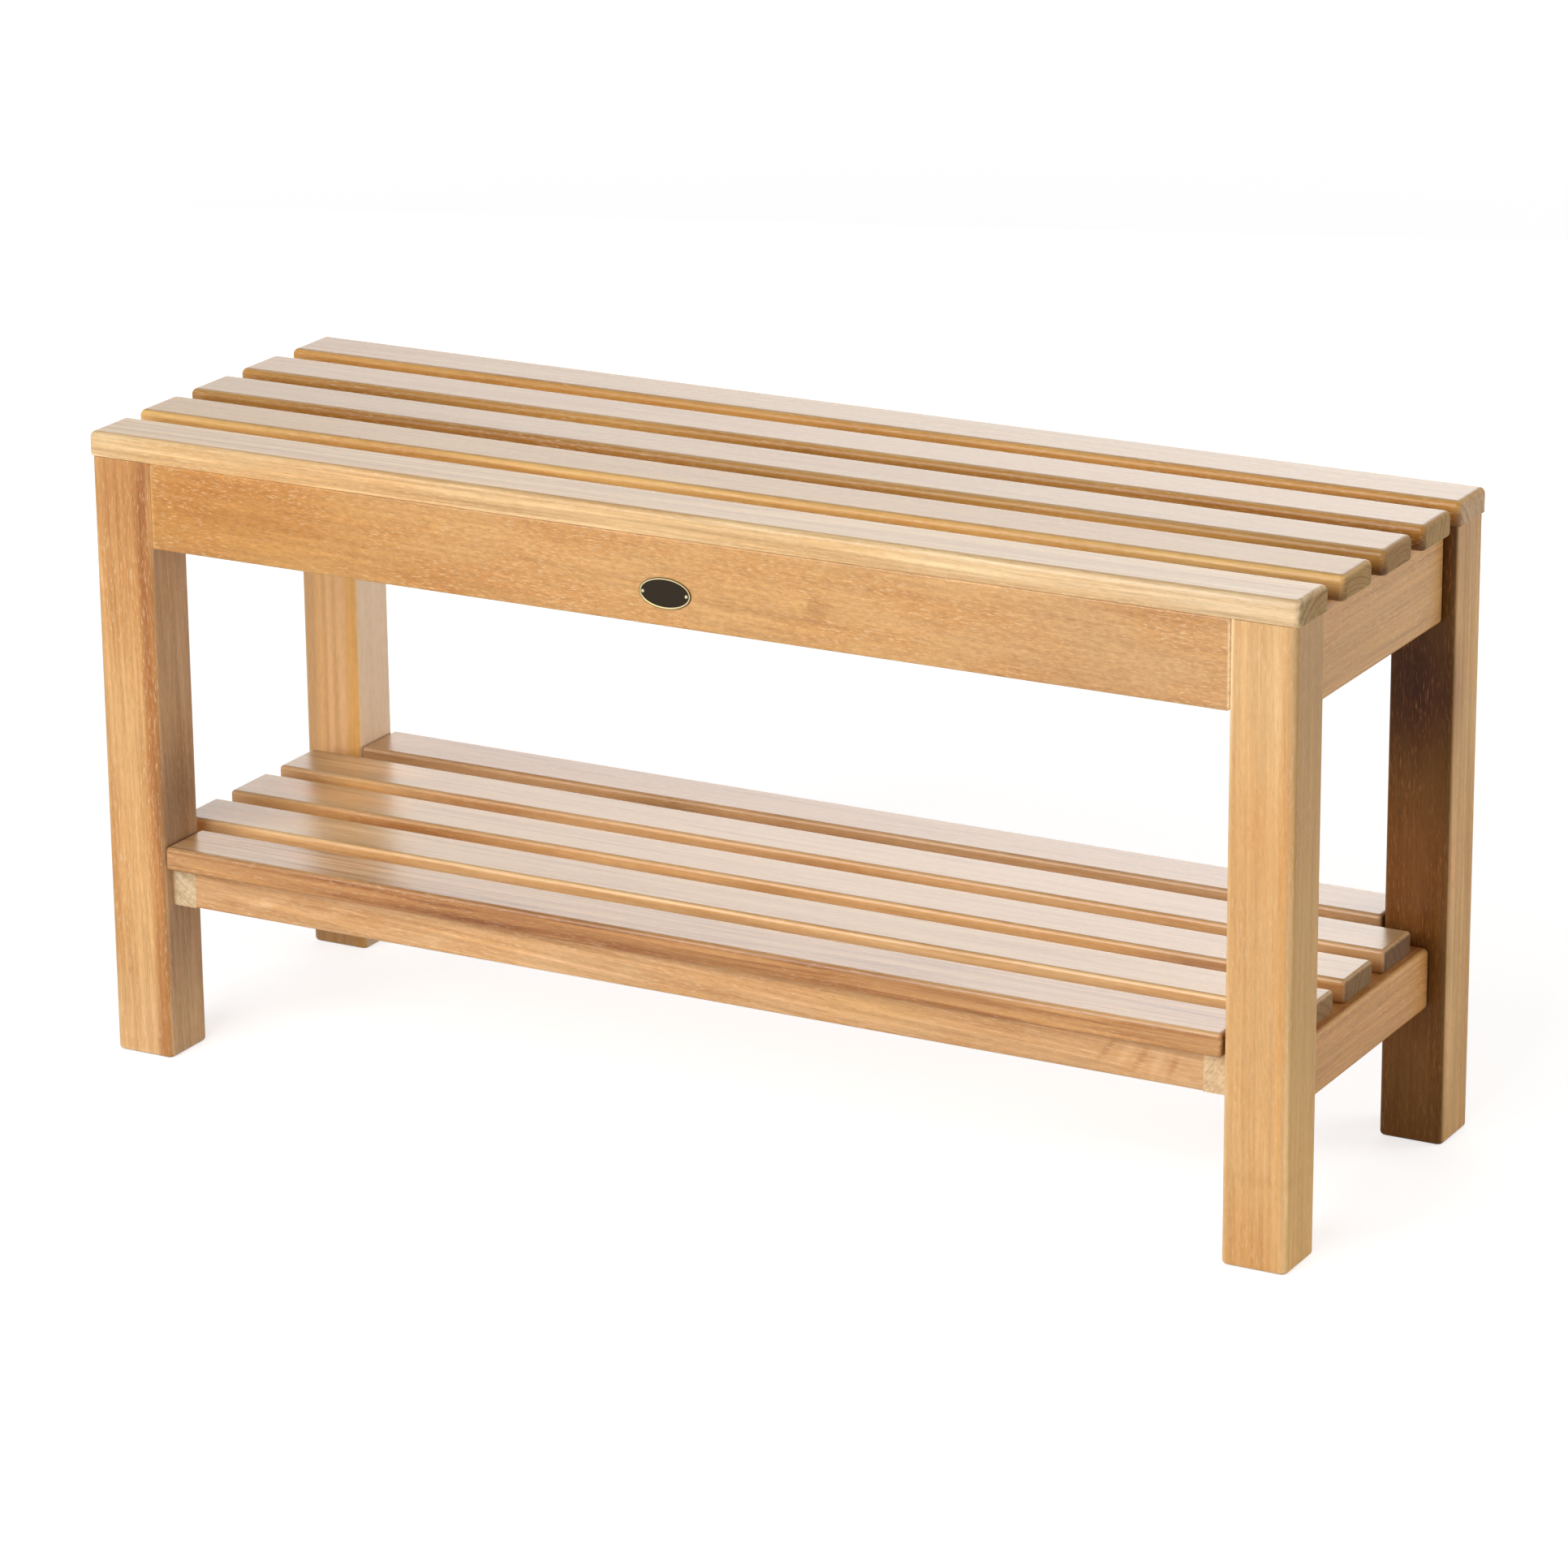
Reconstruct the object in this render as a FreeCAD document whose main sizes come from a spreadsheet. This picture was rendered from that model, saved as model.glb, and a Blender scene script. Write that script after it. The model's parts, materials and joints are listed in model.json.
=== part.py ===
import FreeCAD
import Part
import Sketcher
import os

# A teak shower bench with a slatted seat and a slatted shelf, in millimetres.
# X runs along the bench, Y to its back and Z up; the origin is on the floor under its middle.

doc = FreeCAD.newDocument("shower_bench")

# Slats in the seat, and as many in the shelf, numbered from front to rear.
slat_count = 5
slats = range(1, slat_count + 1)
front_slat = slats[0]
rear_slat = slats[-1]
inner_slats = slats[1:-1]
middle_slat = slats[slat_count // 2]

# The way from the middle to each end and each face, as shares of a half size.
end_shares = {"left": -1, "right": 1}
face_shares = {"front": -1, "rear": 1}

# Places of the screws along a shelf rail.
rail_screw_place_shares = (-0.375, -0.125, 0.125, 0.375)

# Driving sizes, one row each in the sheet Sizes.
driving_sizes = {
    # Over the legs' outer faces, and up to the seat.
    "frame_length": 914.4,
    "frame_depth": 304.8,
    "overall_height": 457.2,
    # Square posts; the slats at front and rear lie on their tops.
    "leg_width": 47,
    "leg_depth": 46,
    "leg_edge_radius": 5,
    "foot_radius": 3,
    # Seat slats, each running on past the legs; the two outer ones lie on the legs, where their
    # edges are only just eased.
    "inner_slat_overhang": 3.8,
    "outer_slat_overhang": 1.8,
    "seat_slat_width": 46,
    "seat_slat_thickness": 17.5,
    "seat_slat_edge_radius": 4.5,
    "slat_under_radius": 2.5,
    "seated_edge_radius": 0.8,
    # Boards under the seat, and how far each stands back from the legs' outer faces.
    "apron_thickness": 20,
    "long_apron_height": 62,
    "long_apron_setback": 1.5,
    "end_apron_height": 67,
    "end_apron_setback": 8.5,
    "eased_edge_radius": 2,
    "end_board_edge_radius": 4,
    # Tenons of the aprons and stretchers, each in a mortise of a leg.
    "tenon_thickness": 9,
    "tenon_shoulder": 8,
    "long_tenon_length": 20,
    "end_tenon_length": 22,
    "mortise_clearance": 0.15,
    # Shelf: two short slats between the legs, three long ones over the end stretchers.
    "shelf_top_height": 159.7,
    "shelf_slat_width": 46,
    "shelf_slat_thickness": 17,
    "shelf_slat_edge_radius": 3,
    "long_shelf_slat_inset": 17.7,
    "short_shelf_slat_gap": 1.2,
    "stretcher_thickness": 20,
    "stretcher_height": 44,
    "stretcher_setback": 12,
    "shelf_rail_thickness": 20,
    "shelf_rail_height": 29,
    "shelf_rail_setback": 11,
    "shelf_cleat_thickness": 18.5,
    # Cleats inside the end aprons, and the cross boards under the middle of seat and shelf.
    "seat_cleat_width": 20,
    "seat_cleat_height": 27,
    "seat_cleat_end_gap": 0.5,
    "brace_width": 46,
    "brace_thickness": 18,
    "brace_tenon_thickness": 8,
    "brace_tenon_length": 8,
    "brace_tenon_shoulder": 6,
    "brace_screw_inset": 14,
    # Dowels: leg tops to slats, and shelf rails to shelf cleats.
    "leg_dowel_diameter": 8,
    "leg_dowel_length": 28,
    "leg_dowel_slat_depth": 9,
    "leg_dowel_offset_x": 13,
    "leg_dowel_offset_y": 11,
    "rail_dowel_diameter": 6,
    "rail_dowel_length": 28,
    "rail_dowel_cleat_depth": 11,
    "rail_dowel_spacing": 14,
    "hole_clearance": 0.1,
    # Stainless screws with a flat-seated round head and a hexagon socket.
    "screw_diameter": 4,
    "screw_head_diameter": 8,
    "screw_head_height": 2.5,
    "screw_recess": 4,
    "screw_bite": 11,
    "screw_socket_width": 3.4,
    "screw_socket_depth": 1.5,
    # Blank oval plate on the front apron, with a raised rim and two pins.
    "badge_width": 39.5,
    "badge_height": 21.7,
    "badge_thickness": 1,
    "badge_rim_width": 0.9,
    "badge_field_depth": 0.3,
    "badge_rim_radius": 0.25,
    "badge_centre_rise": 23.3,
    "badge_pin_inset": 3.15,
    "badge_pin_diameter": 1.2,
    "badge_pin_length": 8,
    "badge_pin_head_diameter": 2.2,
    "badge_pin_head_height": 0.6,
}

# Places worked out from the driving sizes, one row each in the sheet Places.
worked_out = {
    "leg_x": "(Sizes.frame_length - Sizes.leg_width) / 2",
    "leg_y": "(Sizes.frame_depth - Sizes.leg_depth) / 2",
    "leg_top": "Sizes.overall_height - Sizes.seat_slat_thickness",
    "leg_inner_x": "Sizes.frame_length / 2 - Sizes.leg_width",
    "leg_inner_y": "Sizes.frame_depth / 2 - Sizes.leg_depth",
    "long_apron_face_y": "Sizes.frame_depth / 2 - Sizes.long_apron_setback",
    "long_apron_y": "long_apron_face_y - Sizes.apron_thickness / 2",
    "long_apron_inner_y": "long_apron_face_y - Sizes.apron_thickness",
    "long_apron_base": "leg_top - Sizes.long_apron_height",
    "end_apron_x": "Sizes.frame_length / 2 - Sizes.end_apron_setback - Sizes.apron_thickness / 2",
    "end_apron_inner_x": "end_apron_x - Sizes.apron_thickness / 2",
    "end_apron_base": "leg_top - Sizes.end_apron_height",
    "seat_slat_pitch": f"(Sizes.frame_depth - Sizes.seat_slat_width) / {slat_count - 1}",
    "inner_slat_length": "Sizes.frame_length + 2 * Sizes.inner_slat_overhang",
    "outer_slat_length": "Sizes.frame_length + 2 * Sizes.outer_slat_overhang",
    "seat_cleat_inner_x": "end_apron_inner_x - Sizes.seat_cleat_width",
    "seat_cleat_x": "end_apron_inner_x - Sizes.seat_cleat_width / 2",
    "seat_cleat_base": "leg_top - Sizes.seat_cleat_height",
    "seat_brace_base": "leg_top - Sizes.brace_thickness",
    "brace_screw_y": "long_apron_inner_y - Sizes.brace_screw_inset",
    "shelf_underside": "Sizes.shelf_top_height - Sizes.shelf_slat_thickness",
    "shelf_slat_pitch": f"(Sizes.frame_depth - Sizes.shelf_slat_width) / {slat_count - 1}",
    "long_shelf_slat_length": "Sizes.frame_length - 2 * Sizes.long_shelf_slat_inset",
    "short_shelf_slat_length": "2 * (leg_inner_x - Sizes.short_shelf_slat_gap)",
    "stretcher_x": "Sizes.frame_length / 2 - Sizes.stretcher_setback - Sizes.stretcher_thickness / 2",
    "stretcher_base": "shelf_underside - Sizes.stretcher_height",
    "shelf_cleat_x": "leg_inner_x - Sizes.shelf_cleat_thickness / 2",
    "shelf_cleat_inner_x": "leg_inner_x - Sizes.shelf_cleat_thickness",
    "shelf_rail_length": "2 * shelf_cleat_inner_x",
    "shelf_rail_face_y": "Sizes.frame_depth / 2 - Sizes.shelf_rail_setback",
    "shelf_rail_y": "shelf_rail_face_y - Sizes.shelf_rail_thickness / 2",
    "shelf_rail_inner_y": "shelf_rail_face_y - Sizes.shelf_rail_thickness",
    "shelf_rail_base": "shelf_underside - Sizes.shelf_rail_height",
    "shelf_rail_middle_z": "shelf_underside - Sizes.shelf_rail_height / 2",
    "shelf_brace_base": "shelf_underside - Sizes.brace_thickness",
    "shelf_cleat_screw_y": "(leg_inner_y + shelf_rail_inner_y) / 2",
    "slat_screw_grip": "Sizes.brace_thickness - Sizes.screw_recess",
    "seat_cleat_screw_grip": "Sizes.seat_cleat_width - Sizes.screw_recess",
    "shelf_cleat_screw_grip": "Sizes.shelf_cleat_thickness - Sizes.screw_recess",
    "screw_hole": "Sizes.screw_diameter + 2 * Sizes.hole_clearance",
    "screw_head_hole": "Sizes.screw_head_diameter + 2 * Sizes.hole_clearance",
    "badge_z": "long_apron_base + Sizes.badge_centre_rise",
    "badge_pin_x": "Sizes.badge_width / 2 - Sizes.badge_pin_inset",
    "badge_pin_hole": "Sizes.badge_pin_diameter + 2 * Sizes.hole_clearance",
    "badge_field_y": "long_apron_face_y + Sizes.badge_thickness - Sizes.badge_field_depth",
}

along_x = FreeCAD.Vector(1, 0, 0)
along_y = FreeCAD.Vector(0, 1, 0)
along_z = FreeCAD.Vector(0, 0, 1)
tolerance_share = 1e-6


def fill_sheet(name, rows):
    sheet = doc.addObject("Spreadsheet::Sheet", name)
    for row, (alias, content) in enumerate(rows.items(), start=1):
        sheet.set(f"A{row}", alias)
        sheet.set(f"B{row}", str(content))
        sheet.setAlias(f"B{row}", alias)
    doc.recompute()
    return sheet


def bind(thing, rules):
    for prop, rule in rules.items():
        thing.setExpression(prop, rule)


# A stretch from near to far on one side of the middle, as its low and high ends.
def stretch(side, near, far):
    if side > 0:
        return near, far
    return f"-({far})", f"-({near})"


def middle_stretch(middle, width, clearance="0"):
    half = f"(({width}) / 2 + {clearance})"
    return f"({middle}) - {half}", f"({middle}) + {half}"


# Edges of a padded board, chosen by where they lie.
def upright(edge, box):
    return edge.BoundBox.ZLength > box.ZLength * (1 - tolerance_share)


def underneath(edge, box):
    return edge.BoundBox.ZMax - box.ZMin < box.ZLength * tolerance_share


def above_underside(edge, box):
    return not underneath(edge, box)


def long_edge(edge, box):
    longest = max(box.XLength, box.YLength, box.ZLength)
    return edge.Length > longest * (1 - tolerance_share)


def any_edge(edge, box):
    return True


# Where each board stands, so that its cuts can be given in the bench's own frame.
stands_at = {}


def own_frame(body, point):
    return [f"({there}) - ({here})" for there, here in zip(point, stands_at[body.Name])]


def place(feature, point):
    bind(feature, {f"Placement.Base.{axis}": rule for axis, rule in zip("xyz", point)})


def origin_plane(body, role):
    return next(plane for plane in body.Origin.OriginFeatures if plane.Role == role)


def new_sketch(body, role, name):
    sketch = body.newObject("Sketcher::SketchObject", name)
    sketch.AttachmentSupport = (origin_plane(body, role), "")
    sketch.MapMode = "FlatFace"
    return sketch


def draw_rectangle(sketch, wide, deep):
    corners = [FreeCAD.Vector(x, y, 0) for x, y in ((-1, -1), (1, -1), (1, 1), (-1, 1))]
    for side in range(4):
        sketch.addGeometry(Part.LineSegment(corners[side], corners[(side + 1) % 4]))
    for side in range(4):
        sketch.addConstraint(Sketcher.Constraint("Coincident", side, 2, (side + 1) % 4, 1))
    for side, level in enumerate(("Horizontal", "Vertical", "Horizontal", "Vertical")):
        sketch.addConstraint(Sketcher.Constraint(level, side))
    sketch.addConstraint(Sketcher.Constraint("Symmetric", 0, 1, 1, 2, -1, 1))
    across = sketch.addConstraint(Sketcher.Constraint("DistanceX", 0, 1, 0, 2, 1))
    upward = sketch.addConstraint(Sketcher.Constraint("DistanceY", 1, 1, 1, 2, 1))
    bind(sketch, {f"Constraints[{across}]": wide, f"Constraints[{upward}]": deep})


def draw_oval(sketch, wide, high):
    sketch.addGeometry(Part.Ellipse(FreeCAD.Vector(), 1, 0.5))
    sketch.exposeInternalGeometry(0)
    sketch.addConstraint(Sketcher.Constraint("Coincident", 0, 3, -1, 1))
    sketch.addConstraint(Sketcher.Constraint("Horizontal", 1))
    across = sketch.addConstraint(Sketcher.Constraint("Distance", 1, 1))
    upward = sketch.addConstraint(Sketcher.Constraint("Distance", 2, 1))
    bind(sketch, {f"Constraints[{across}]": wide, f"Constraints[{upward}]": high})


def new_body(label, point):
    body = doc.addObject("PartDesign::Body", label)
    body.Label = label
    stands_at[body.Name] = point
    place(body, point)
    return body


# A board is padded up from its plan; its point is the middle of its underside.
def board(label, size, point):
    body = new_body(label, point)
    plan = new_sketch(body, "XY_Plane", f"{label}_plan")
    draw_rectangle(plan, size[0], size[1])
    pad = body.newObject("PartDesign::Pad", f"{label}_pad")
    pad.Profile = plan
    pad.setExpression("Length", size[2])
    doc.recompute()
    return body


def round_over(body, name, radius, wanted):
    base = body.Tip
    box = base.Shape.BoundBox
    edges = [f"Edge{n}" for n, edge in enumerate(base.Shape.Edges, start=1) if wanted(edge, box)]
    fillet = body.newObject("PartDesign::Fillet", f"{body.Label}_{name}")
    fillet.Base = (base, edges)
    fillet.setExpression("Radius", radius)
    doc.recompute()


# A tenon is added to a board and a mortise is cut from one, both as boxes with sides x, y and z.
def box_feature(body, kind, name, x, y, z):
    feature = body.newObject(f"PartDesign::{kind}", f"{body.Label}_{name}")
    for side, (low, high) in zip(("Length", "Width", "Height"), (x, y, z)):
        feature.setExpression(side, f"({high}) - ({low})")
    place(feature, own_frame(body, (x[0], y[0], z[0])))


def tenon(body, name, x, y, z):
    box_feature(body, "AdditiveBox", name, x, y, z)


def mortise(body, name, x, y, z):
    box_feature(body, "SubtractiveBox", name, x, y, z)


def bore(body, name, point, direction, diameter, depth):
    hole = body.newObject("PartDesign::SubtractiveCylinder", f"{body.Label}_{name}")
    hole.Placement = FreeCAD.Placement(FreeCAD.Vector(), FreeCAD.Rotation(along_z, direction))
    bind(hole, {"Radius": f"({diameter}) / 2", "Height": depth})
    place(hole, own_frame(body, point))


# Spots of the fasteners, one list for each group: a point and a direction.
fastener_spots = {}


# A screw's holes: a head recess from the start point, a way through, and a blind hole in what it holds.
def screw_holes(group, carrier, held, start, thickness, direction, grip):
    def along(distance):
        return [f"({rule}) + {step} * ({distance})" for rule, step in zip(start, direction)]

    recess = f"({thickness}) - ({grip})"
    bore(carrier, "screw_way", start, direction, "Places.screw_hole", thickness)
    bore(carrier, "screw_recess", start, direction, "Places.screw_head_hole", recess)
    bite = "Sizes.screw_bite + Sizes.hole_clearance"
    bore(held, "screw_bite", along(thickness), direction, "Places.screw_hole", bite)
    fastener_spots.setdefault(group, []).append((along(recess), direction))


# A dowel's two blind holes, either side of the joint at the given point.
def dowel_holes(group, before, after, point, direction, diameter, length, depth_before):
    hole = f"({diameter}) + 2 * Sizes.hole_clearance"
    depth_after = f"({length}) - ({depth_before})"
    bore(before, "dowel_hole", point, -direction, hole, f"({depth_before}) + Sizes.hole_clearance")
    bore(after, "dowel_hole", point, direction, hole, f"({depth_after}) + Sizes.hole_clearance")
    start = [f"({rule}) - {step} * ({depth_before})" for rule, step in zip(point, direction)]
    fastener_spots.setdefault(group, []).append((start, direction))


fill_sheet("Sizes", driving_sizes)
places = fill_sheet("Places", {alias: f"={rule}" for alias, rule in worked_out.items()})


# Joint boxes shared by the tenons and their mortises.
def long_tenon_height(clearance="0"):
    return (
        f"Places.long_apron_base + Sizes.tenon_shoulder - {clearance}",
        f"Places.leg_top - Sizes.tenon_shoulder + {clearance}",
    )


def end_tenon_height(clearance="0"):
    return (
        f"Places.end_apron_base + Sizes.tenon_shoulder - {clearance}",
        f"Places.leg_top - Sizes.tenon_shoulder + {clearance}",
    )


def stretcher_tenon_height(clearance="0"):
    return (
        f"Places.stretcher_base + Sizes.tenon_shoulder - {clearance}",
        f"Places.shelf_underside - Sizes.tenon_shoulder + {clearance}",
    )


def brace_tenon_sides(base, clearance="0"):
    width = "Sizes.brace_width - 2 * Sizes.brace_tenon_shoulder"
    middle = f"({base}) + Sizes.brace_thickness / 2"
    across = middle_stretch("0", width, clearance)
    return across, middle_stretch(middle, "Sizes.brace_tenon_thickness", clearance)


# Legs, with a mortise for each apron and for the stretcher.
legs = {}
for face, back in face_shares.items():
    for end, out in end_shares.items():
        leg = board(
            f"leg_{face}_{end}",
            ("Sizes.leg_width", "Sizes.leg_depth", "Places.leg_top"),
            (f"{out} * Places.leg_x", f"{back} * Places.leg_y", "0"),
        )
        round_over(leg, "long_edges", "Sizes.leg_edge_radius", upright)
        round_over(leg, "foot", "Sizes.foot_radius", underneath)
        room = "Sizes.mortise_clearance"
        long_reach = f"Places.leg_inner_x + Sizes.long_tenon_length + {room}"
        end_reach = f"Places.leg_inner_y + Sizes.end_tenon_length + {room}"
        end_way = stretch(back, "Places.leg_inner_y", end_reach)
        mortise(
            leg,
            "long_apron_mortise",
            stretch(out, "Places.leg_inner_x", long_reach),
            middle_stretch(f"{back} * Places.long_apron_y", "Sizes.tenon_thickness", room),
            long_tenon_height(room),
        )
        mortise(
            leg,
            "end_apron_mortise",
            middle_stretch(f"{out} * Places.end_apron_x", "Sizes.tenon_thickness", room),
            end_way,
            end_tenon_height(room),
        )
        mortise(
            leg,
            "stretcher_mortise",
            middle_stretch(f"{out} * Places.stretcher_x", "Sizes.tenon_thickness", room),
            end_way,
            stretcher_tenon_height(room),
        )
        legs[face, end] = leg

# Long aprons, front and rear.
long_aprons = {}
for face, back in face_shares.items():
    apron = board(
        f"apron_{face}",
        ("2 * Places.leg_inner_x", "Sizes.apron_thickness", "Sizes.long_apron_height"),
        ("0", f"{back} * Places.long_apron_y", "Places.long_apron_base"),
    )
    round_over(apron, "edges", "Sizes.eased_edge_radius", any_edge)
    tenon(
        apron,
        "tenons",
        middle_stretch("0", "2 * Places.leg_inner_x", "Sizes.long_tenon_length"),
        middle_stretch(f"{back} * Places.long_apron_y", "Sizes.tenon_thickness"),
        long_tenon_height(),
    )
    across, upward = brace_tenon_sides("Places.seat_brace_base", "Sizes.mortise_clearance")
    reach = "Places.long_apron_inner_y + Sizes.brace_tenon_length + Sizes.mortise_clearance"
    mortise(apron, "brace_mortise", across, stretch(back, "Places.long_apron_inner_y", reach), upward)
    long_aprons[face] = apron

# End aprons, with the seat cleats on their inner faces.
end_aprons = {}
seat_cleats = {}
for end, out in end_shares.items():
    apron = board(
        f"apron_{end}",
        ("Sizes.apron_thickness", "2 * Places.leg_inner_y", "Sizes.end_apron_height"),
        (f"{out} * Places.end_apron_x", "0", "Places.end_apron_base"),
    )
    round_over(apron, "edges", "Sizes.end_board_edge_radius", any_edge)
    tenon(
        apron,
        "tenons",
        middle_stretch(f"{out} * Places.end_apron_x", "Sizes.tenon_thickness"),
        middle_stretch("0", "2 * Places.leg_inner_y", "Sizes.end_tenon_length"),
        end_tenon_height(),
    )
    end_aprons[end] = apron
    cleat = board(
        f"seat_cleat_{end}",
        (
            "Sizes.seat_cleat_width",
            "2 * (Places.leg_inner_y - Sizes.seat_cleat_end_gap)",
            "Sizes.seat_cleat_height",
        ),
        (f"{out} * Places.seat_cleat_x", "0", "Places.seat_cleat_base"),
    )
    round_over(cleat, "long_edges", "Sizes.eased_edge_radius", long_edge)
    for side in face_shares.values():
        screw_holes(
            "seat_cleat_screws",
            cleat,
            apron,
            (
                f"{out} * Places.seat_cleat_inner_x",
                f"{side} * Places.seat_slat_pitch / 2",
                "Places.seat_cleat_base + Sizes.seat_cleat_height / 2",
            ),
            "Sizes.seat_cleat_width",
            out * along_x,
            "Places.seat_cleat_screw_grip",
        )
    seat_cleats[end] = cleat


# Cross board under the middle, stub-tenoned into the boards in front of and behind it.
def cross_brace(label, inner_y, base):
    brace = board(
        label,
        ("Sizes.brace_width", f"2 * ({inner_y})", "Sizes.brace_thickness"),
        ("0", "0", base),
    )
    round_over(brace, "long_edges", "Sizes.eased_edge_radius", long_edge)
    across, upward = brace_tenon_sides(base)
    along = middle_stretch("0", f"2 * ({inner_y})", "Sizes.brace_tenon_length")
    tenon(brace, "tenons", across, along, upward)
    return brace


seat_brace = cross_brace("seat_brace", "Places.long_apron_inner_y", "Places.seat_brace_base")


# A slat rounded over on its top and ends, with its own easing underneath.
def slat(label, length, width, thickness, middle_y, underside, edge_radius, under_radius):
    body = board(label, (length, width, thickness), ("0", middle_y, underside))
    round_over(body, "upper_edges", edge_radius, above_underside)
    round_over(body, "under_edges", under_radius, underneath)
    return body


# Seat slats; the first and last lie on the legs, the others on the end aprons.
seat_slats = {}
for number in slats:
    if number in inner_slats:
        length = "Places.inner_slat_length"
        under_radius = "Sizes.slat_under_radius"
    else:
        length = "Places.outer_slat_length"
        under_radius = "Sizes.seated_edge_radius"
    middle_y = f"{number - middle_slat} * Places.seat_slat_pitch"
    seat_slats[number] = slat(
        f"seat_slat_{number}",
        length,
        "Sizes.seat_slat_width",
        "Sizes.seat_slat_thickness",
        middle_y,
        "Places.leg_top",
        "Sizes.seat_slat_edge_radius",
        under_radius,
    )
    brace_y = middle_y
    if number not in inner_slats:
        brace_y = f"{1 if number > middle_slat else -1} * Places.brace_screw_y"
    screw_holes(
        "seat_screws",
        seat_brace,
        seat_slats[number],
        ("0", brace_y, "Places.seat_brace_base"),
        "Sizes.brace_thickness",
        along_z,
        "Places.slat_screw_grip",
    )
    if number in inner_slats:
        for end, out in end_shares.items():
            screw_holes(
                "seat_screws",
                seat_cleats[end],
                seat_slats[number],
                (f"{out} * Places.seat_cleat_x", middle_y, "Places.seat_cleat_base"),
                "Sizes.seat_cleat_height",
                along_z,
                "Places.slat_screw_grip",
            )

# Two dowels from each leg top, either side of the leg's middle.
outer_slats = {"front": seat_slats[front_slat], "rear": seat_slats[rear_slat]}
for (face, end), leg in legs.items():
    out = end_shares[end]
    back = face_shares[face]
    for corner in (-1, 1):
        dowel_holes(
            "leg_dowels",
            leg,
            outer_slats[face],
            (
                f"{out} * (Places.leg_x + {corner} * Sizes.leg_dowel_offset_x)",
                f"{back} * (Places.leg_y + {corner} * Sizes.leg_dowel_offset_y)",
                "Places.leg_top",
            ),
            along_z,
            "Sizes.leg_dowel_diameter",
            "Sizes.leg_dowel_length",
            "Sizes.leg_dowel_length - Sizes.leg_dowel_slat_depth",
        )

# End stretchers, which carry the long shelf slats.
for end, out in end_shares.items():
    stretcher = board(
        f"stretcher_{end}",
        ("Sizes.stretcher_thickness", "2 * Places.leg_inner_y", "Sizes.stretcher_height"),
        (f"{out} * Places.stretcher_x", "0", "Places.stretcher_base"),
    )
    round_over(stretcher, "edges", "Sizes.end_board_edge_radius", any_edge)
    tenon(
        stretcher,
        "tenons",
        middle_stretch(f"{out} * Places.stretcher_x", "Sizes.tenon_thickness"),
        middle_stretch("0", "2 * Places.leg_inner_y", "Sizes.end_tenon_length"),
        stretcher_tenon_height(),
    )

# Shelf cleats, screwed to the inner faces of the legs.
shelf_cleats = {}
for end, out in end_shares.items():
    cleat = board(
        f"shelf_cleat_{end}",
        ("Sizes.shelf_cleat_thickness", "2 * Places.shelf_rail_face_y", "Sizes.shelf_rail_height"),
        (f"{out} * Places.shelf_cleat_x", "0", "Places.shelf_rail_base"),
    )
    for face, back in face_shares.items():
        screw_holes(
            "shelf_cleat_screws",
            cleat,
            legs[face, end],
            (
                f"{out} * Places.shelf_cleat_inner_x",
                f"{back} * Places.shelf_cleat_screw_y",
                "Places.shelf_rail_middle_z",
            ),
            "Sizes.shelf_cleat_thickness",
            out * along_x,
            "Places.shelf_cleat_screw_grip",
        )
    shelf_cleats[end] = cleat

# Shelf rails between the cleats, dowelled to them.
shelf_rails = {}
for face, back in face_shares.items():
    rail = board(
        f"shelf_rail_{face}",
        ("Places.shelf_rail_length", "Sizes.shelf_rail_thickness", "Sizes.shelf_rail_height"),
        ("0", f"{back} * Places.shelf_rail_y", "Places.shelf_rail_base"),
    )
    round_over(rail, "long_edges", "Sizes.eased_edge_radius", long_edge)
    across, upward = brace_tenon_sides("Places.shelf_brace_base", "Sizes.mortise_clearance")
    reach = "Places.shelf_rail_inner_y + Sizes.brace_tenon_length + Sizes.mortise_clearance"
    mortise(rail, "brace_mortise", across, stretch(back, "Places.shelf_rail_inner_y", reach), upward)
    for end, out in end_shares.items():
        for level in (-1, 1):
            dowel_holes(
                "rail_dowels",
                shelf_cleats[end],
                rail,
                (
                    f"{out} * Places.shelf_cleat_inner_x",
                    f"{back} * Places.shelf_rail_y",
                    f"Places.shelf_rail_middle_z + {level} * Sizes.rail_dowel_spacing / 2",
                ),
                -out * along_x,
                "Sizes.rail_dowel_diameter",
                "Sizes.rail_dowel_length",
                "Sizes.rail_dowel_cleat_depth",
            )
    shelf_rails[face] = rail

shelf_brace = cross_brace("shelf_brace", "Places.shelf_rail_inner_y", "Places.shelf_brace_base")

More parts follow.
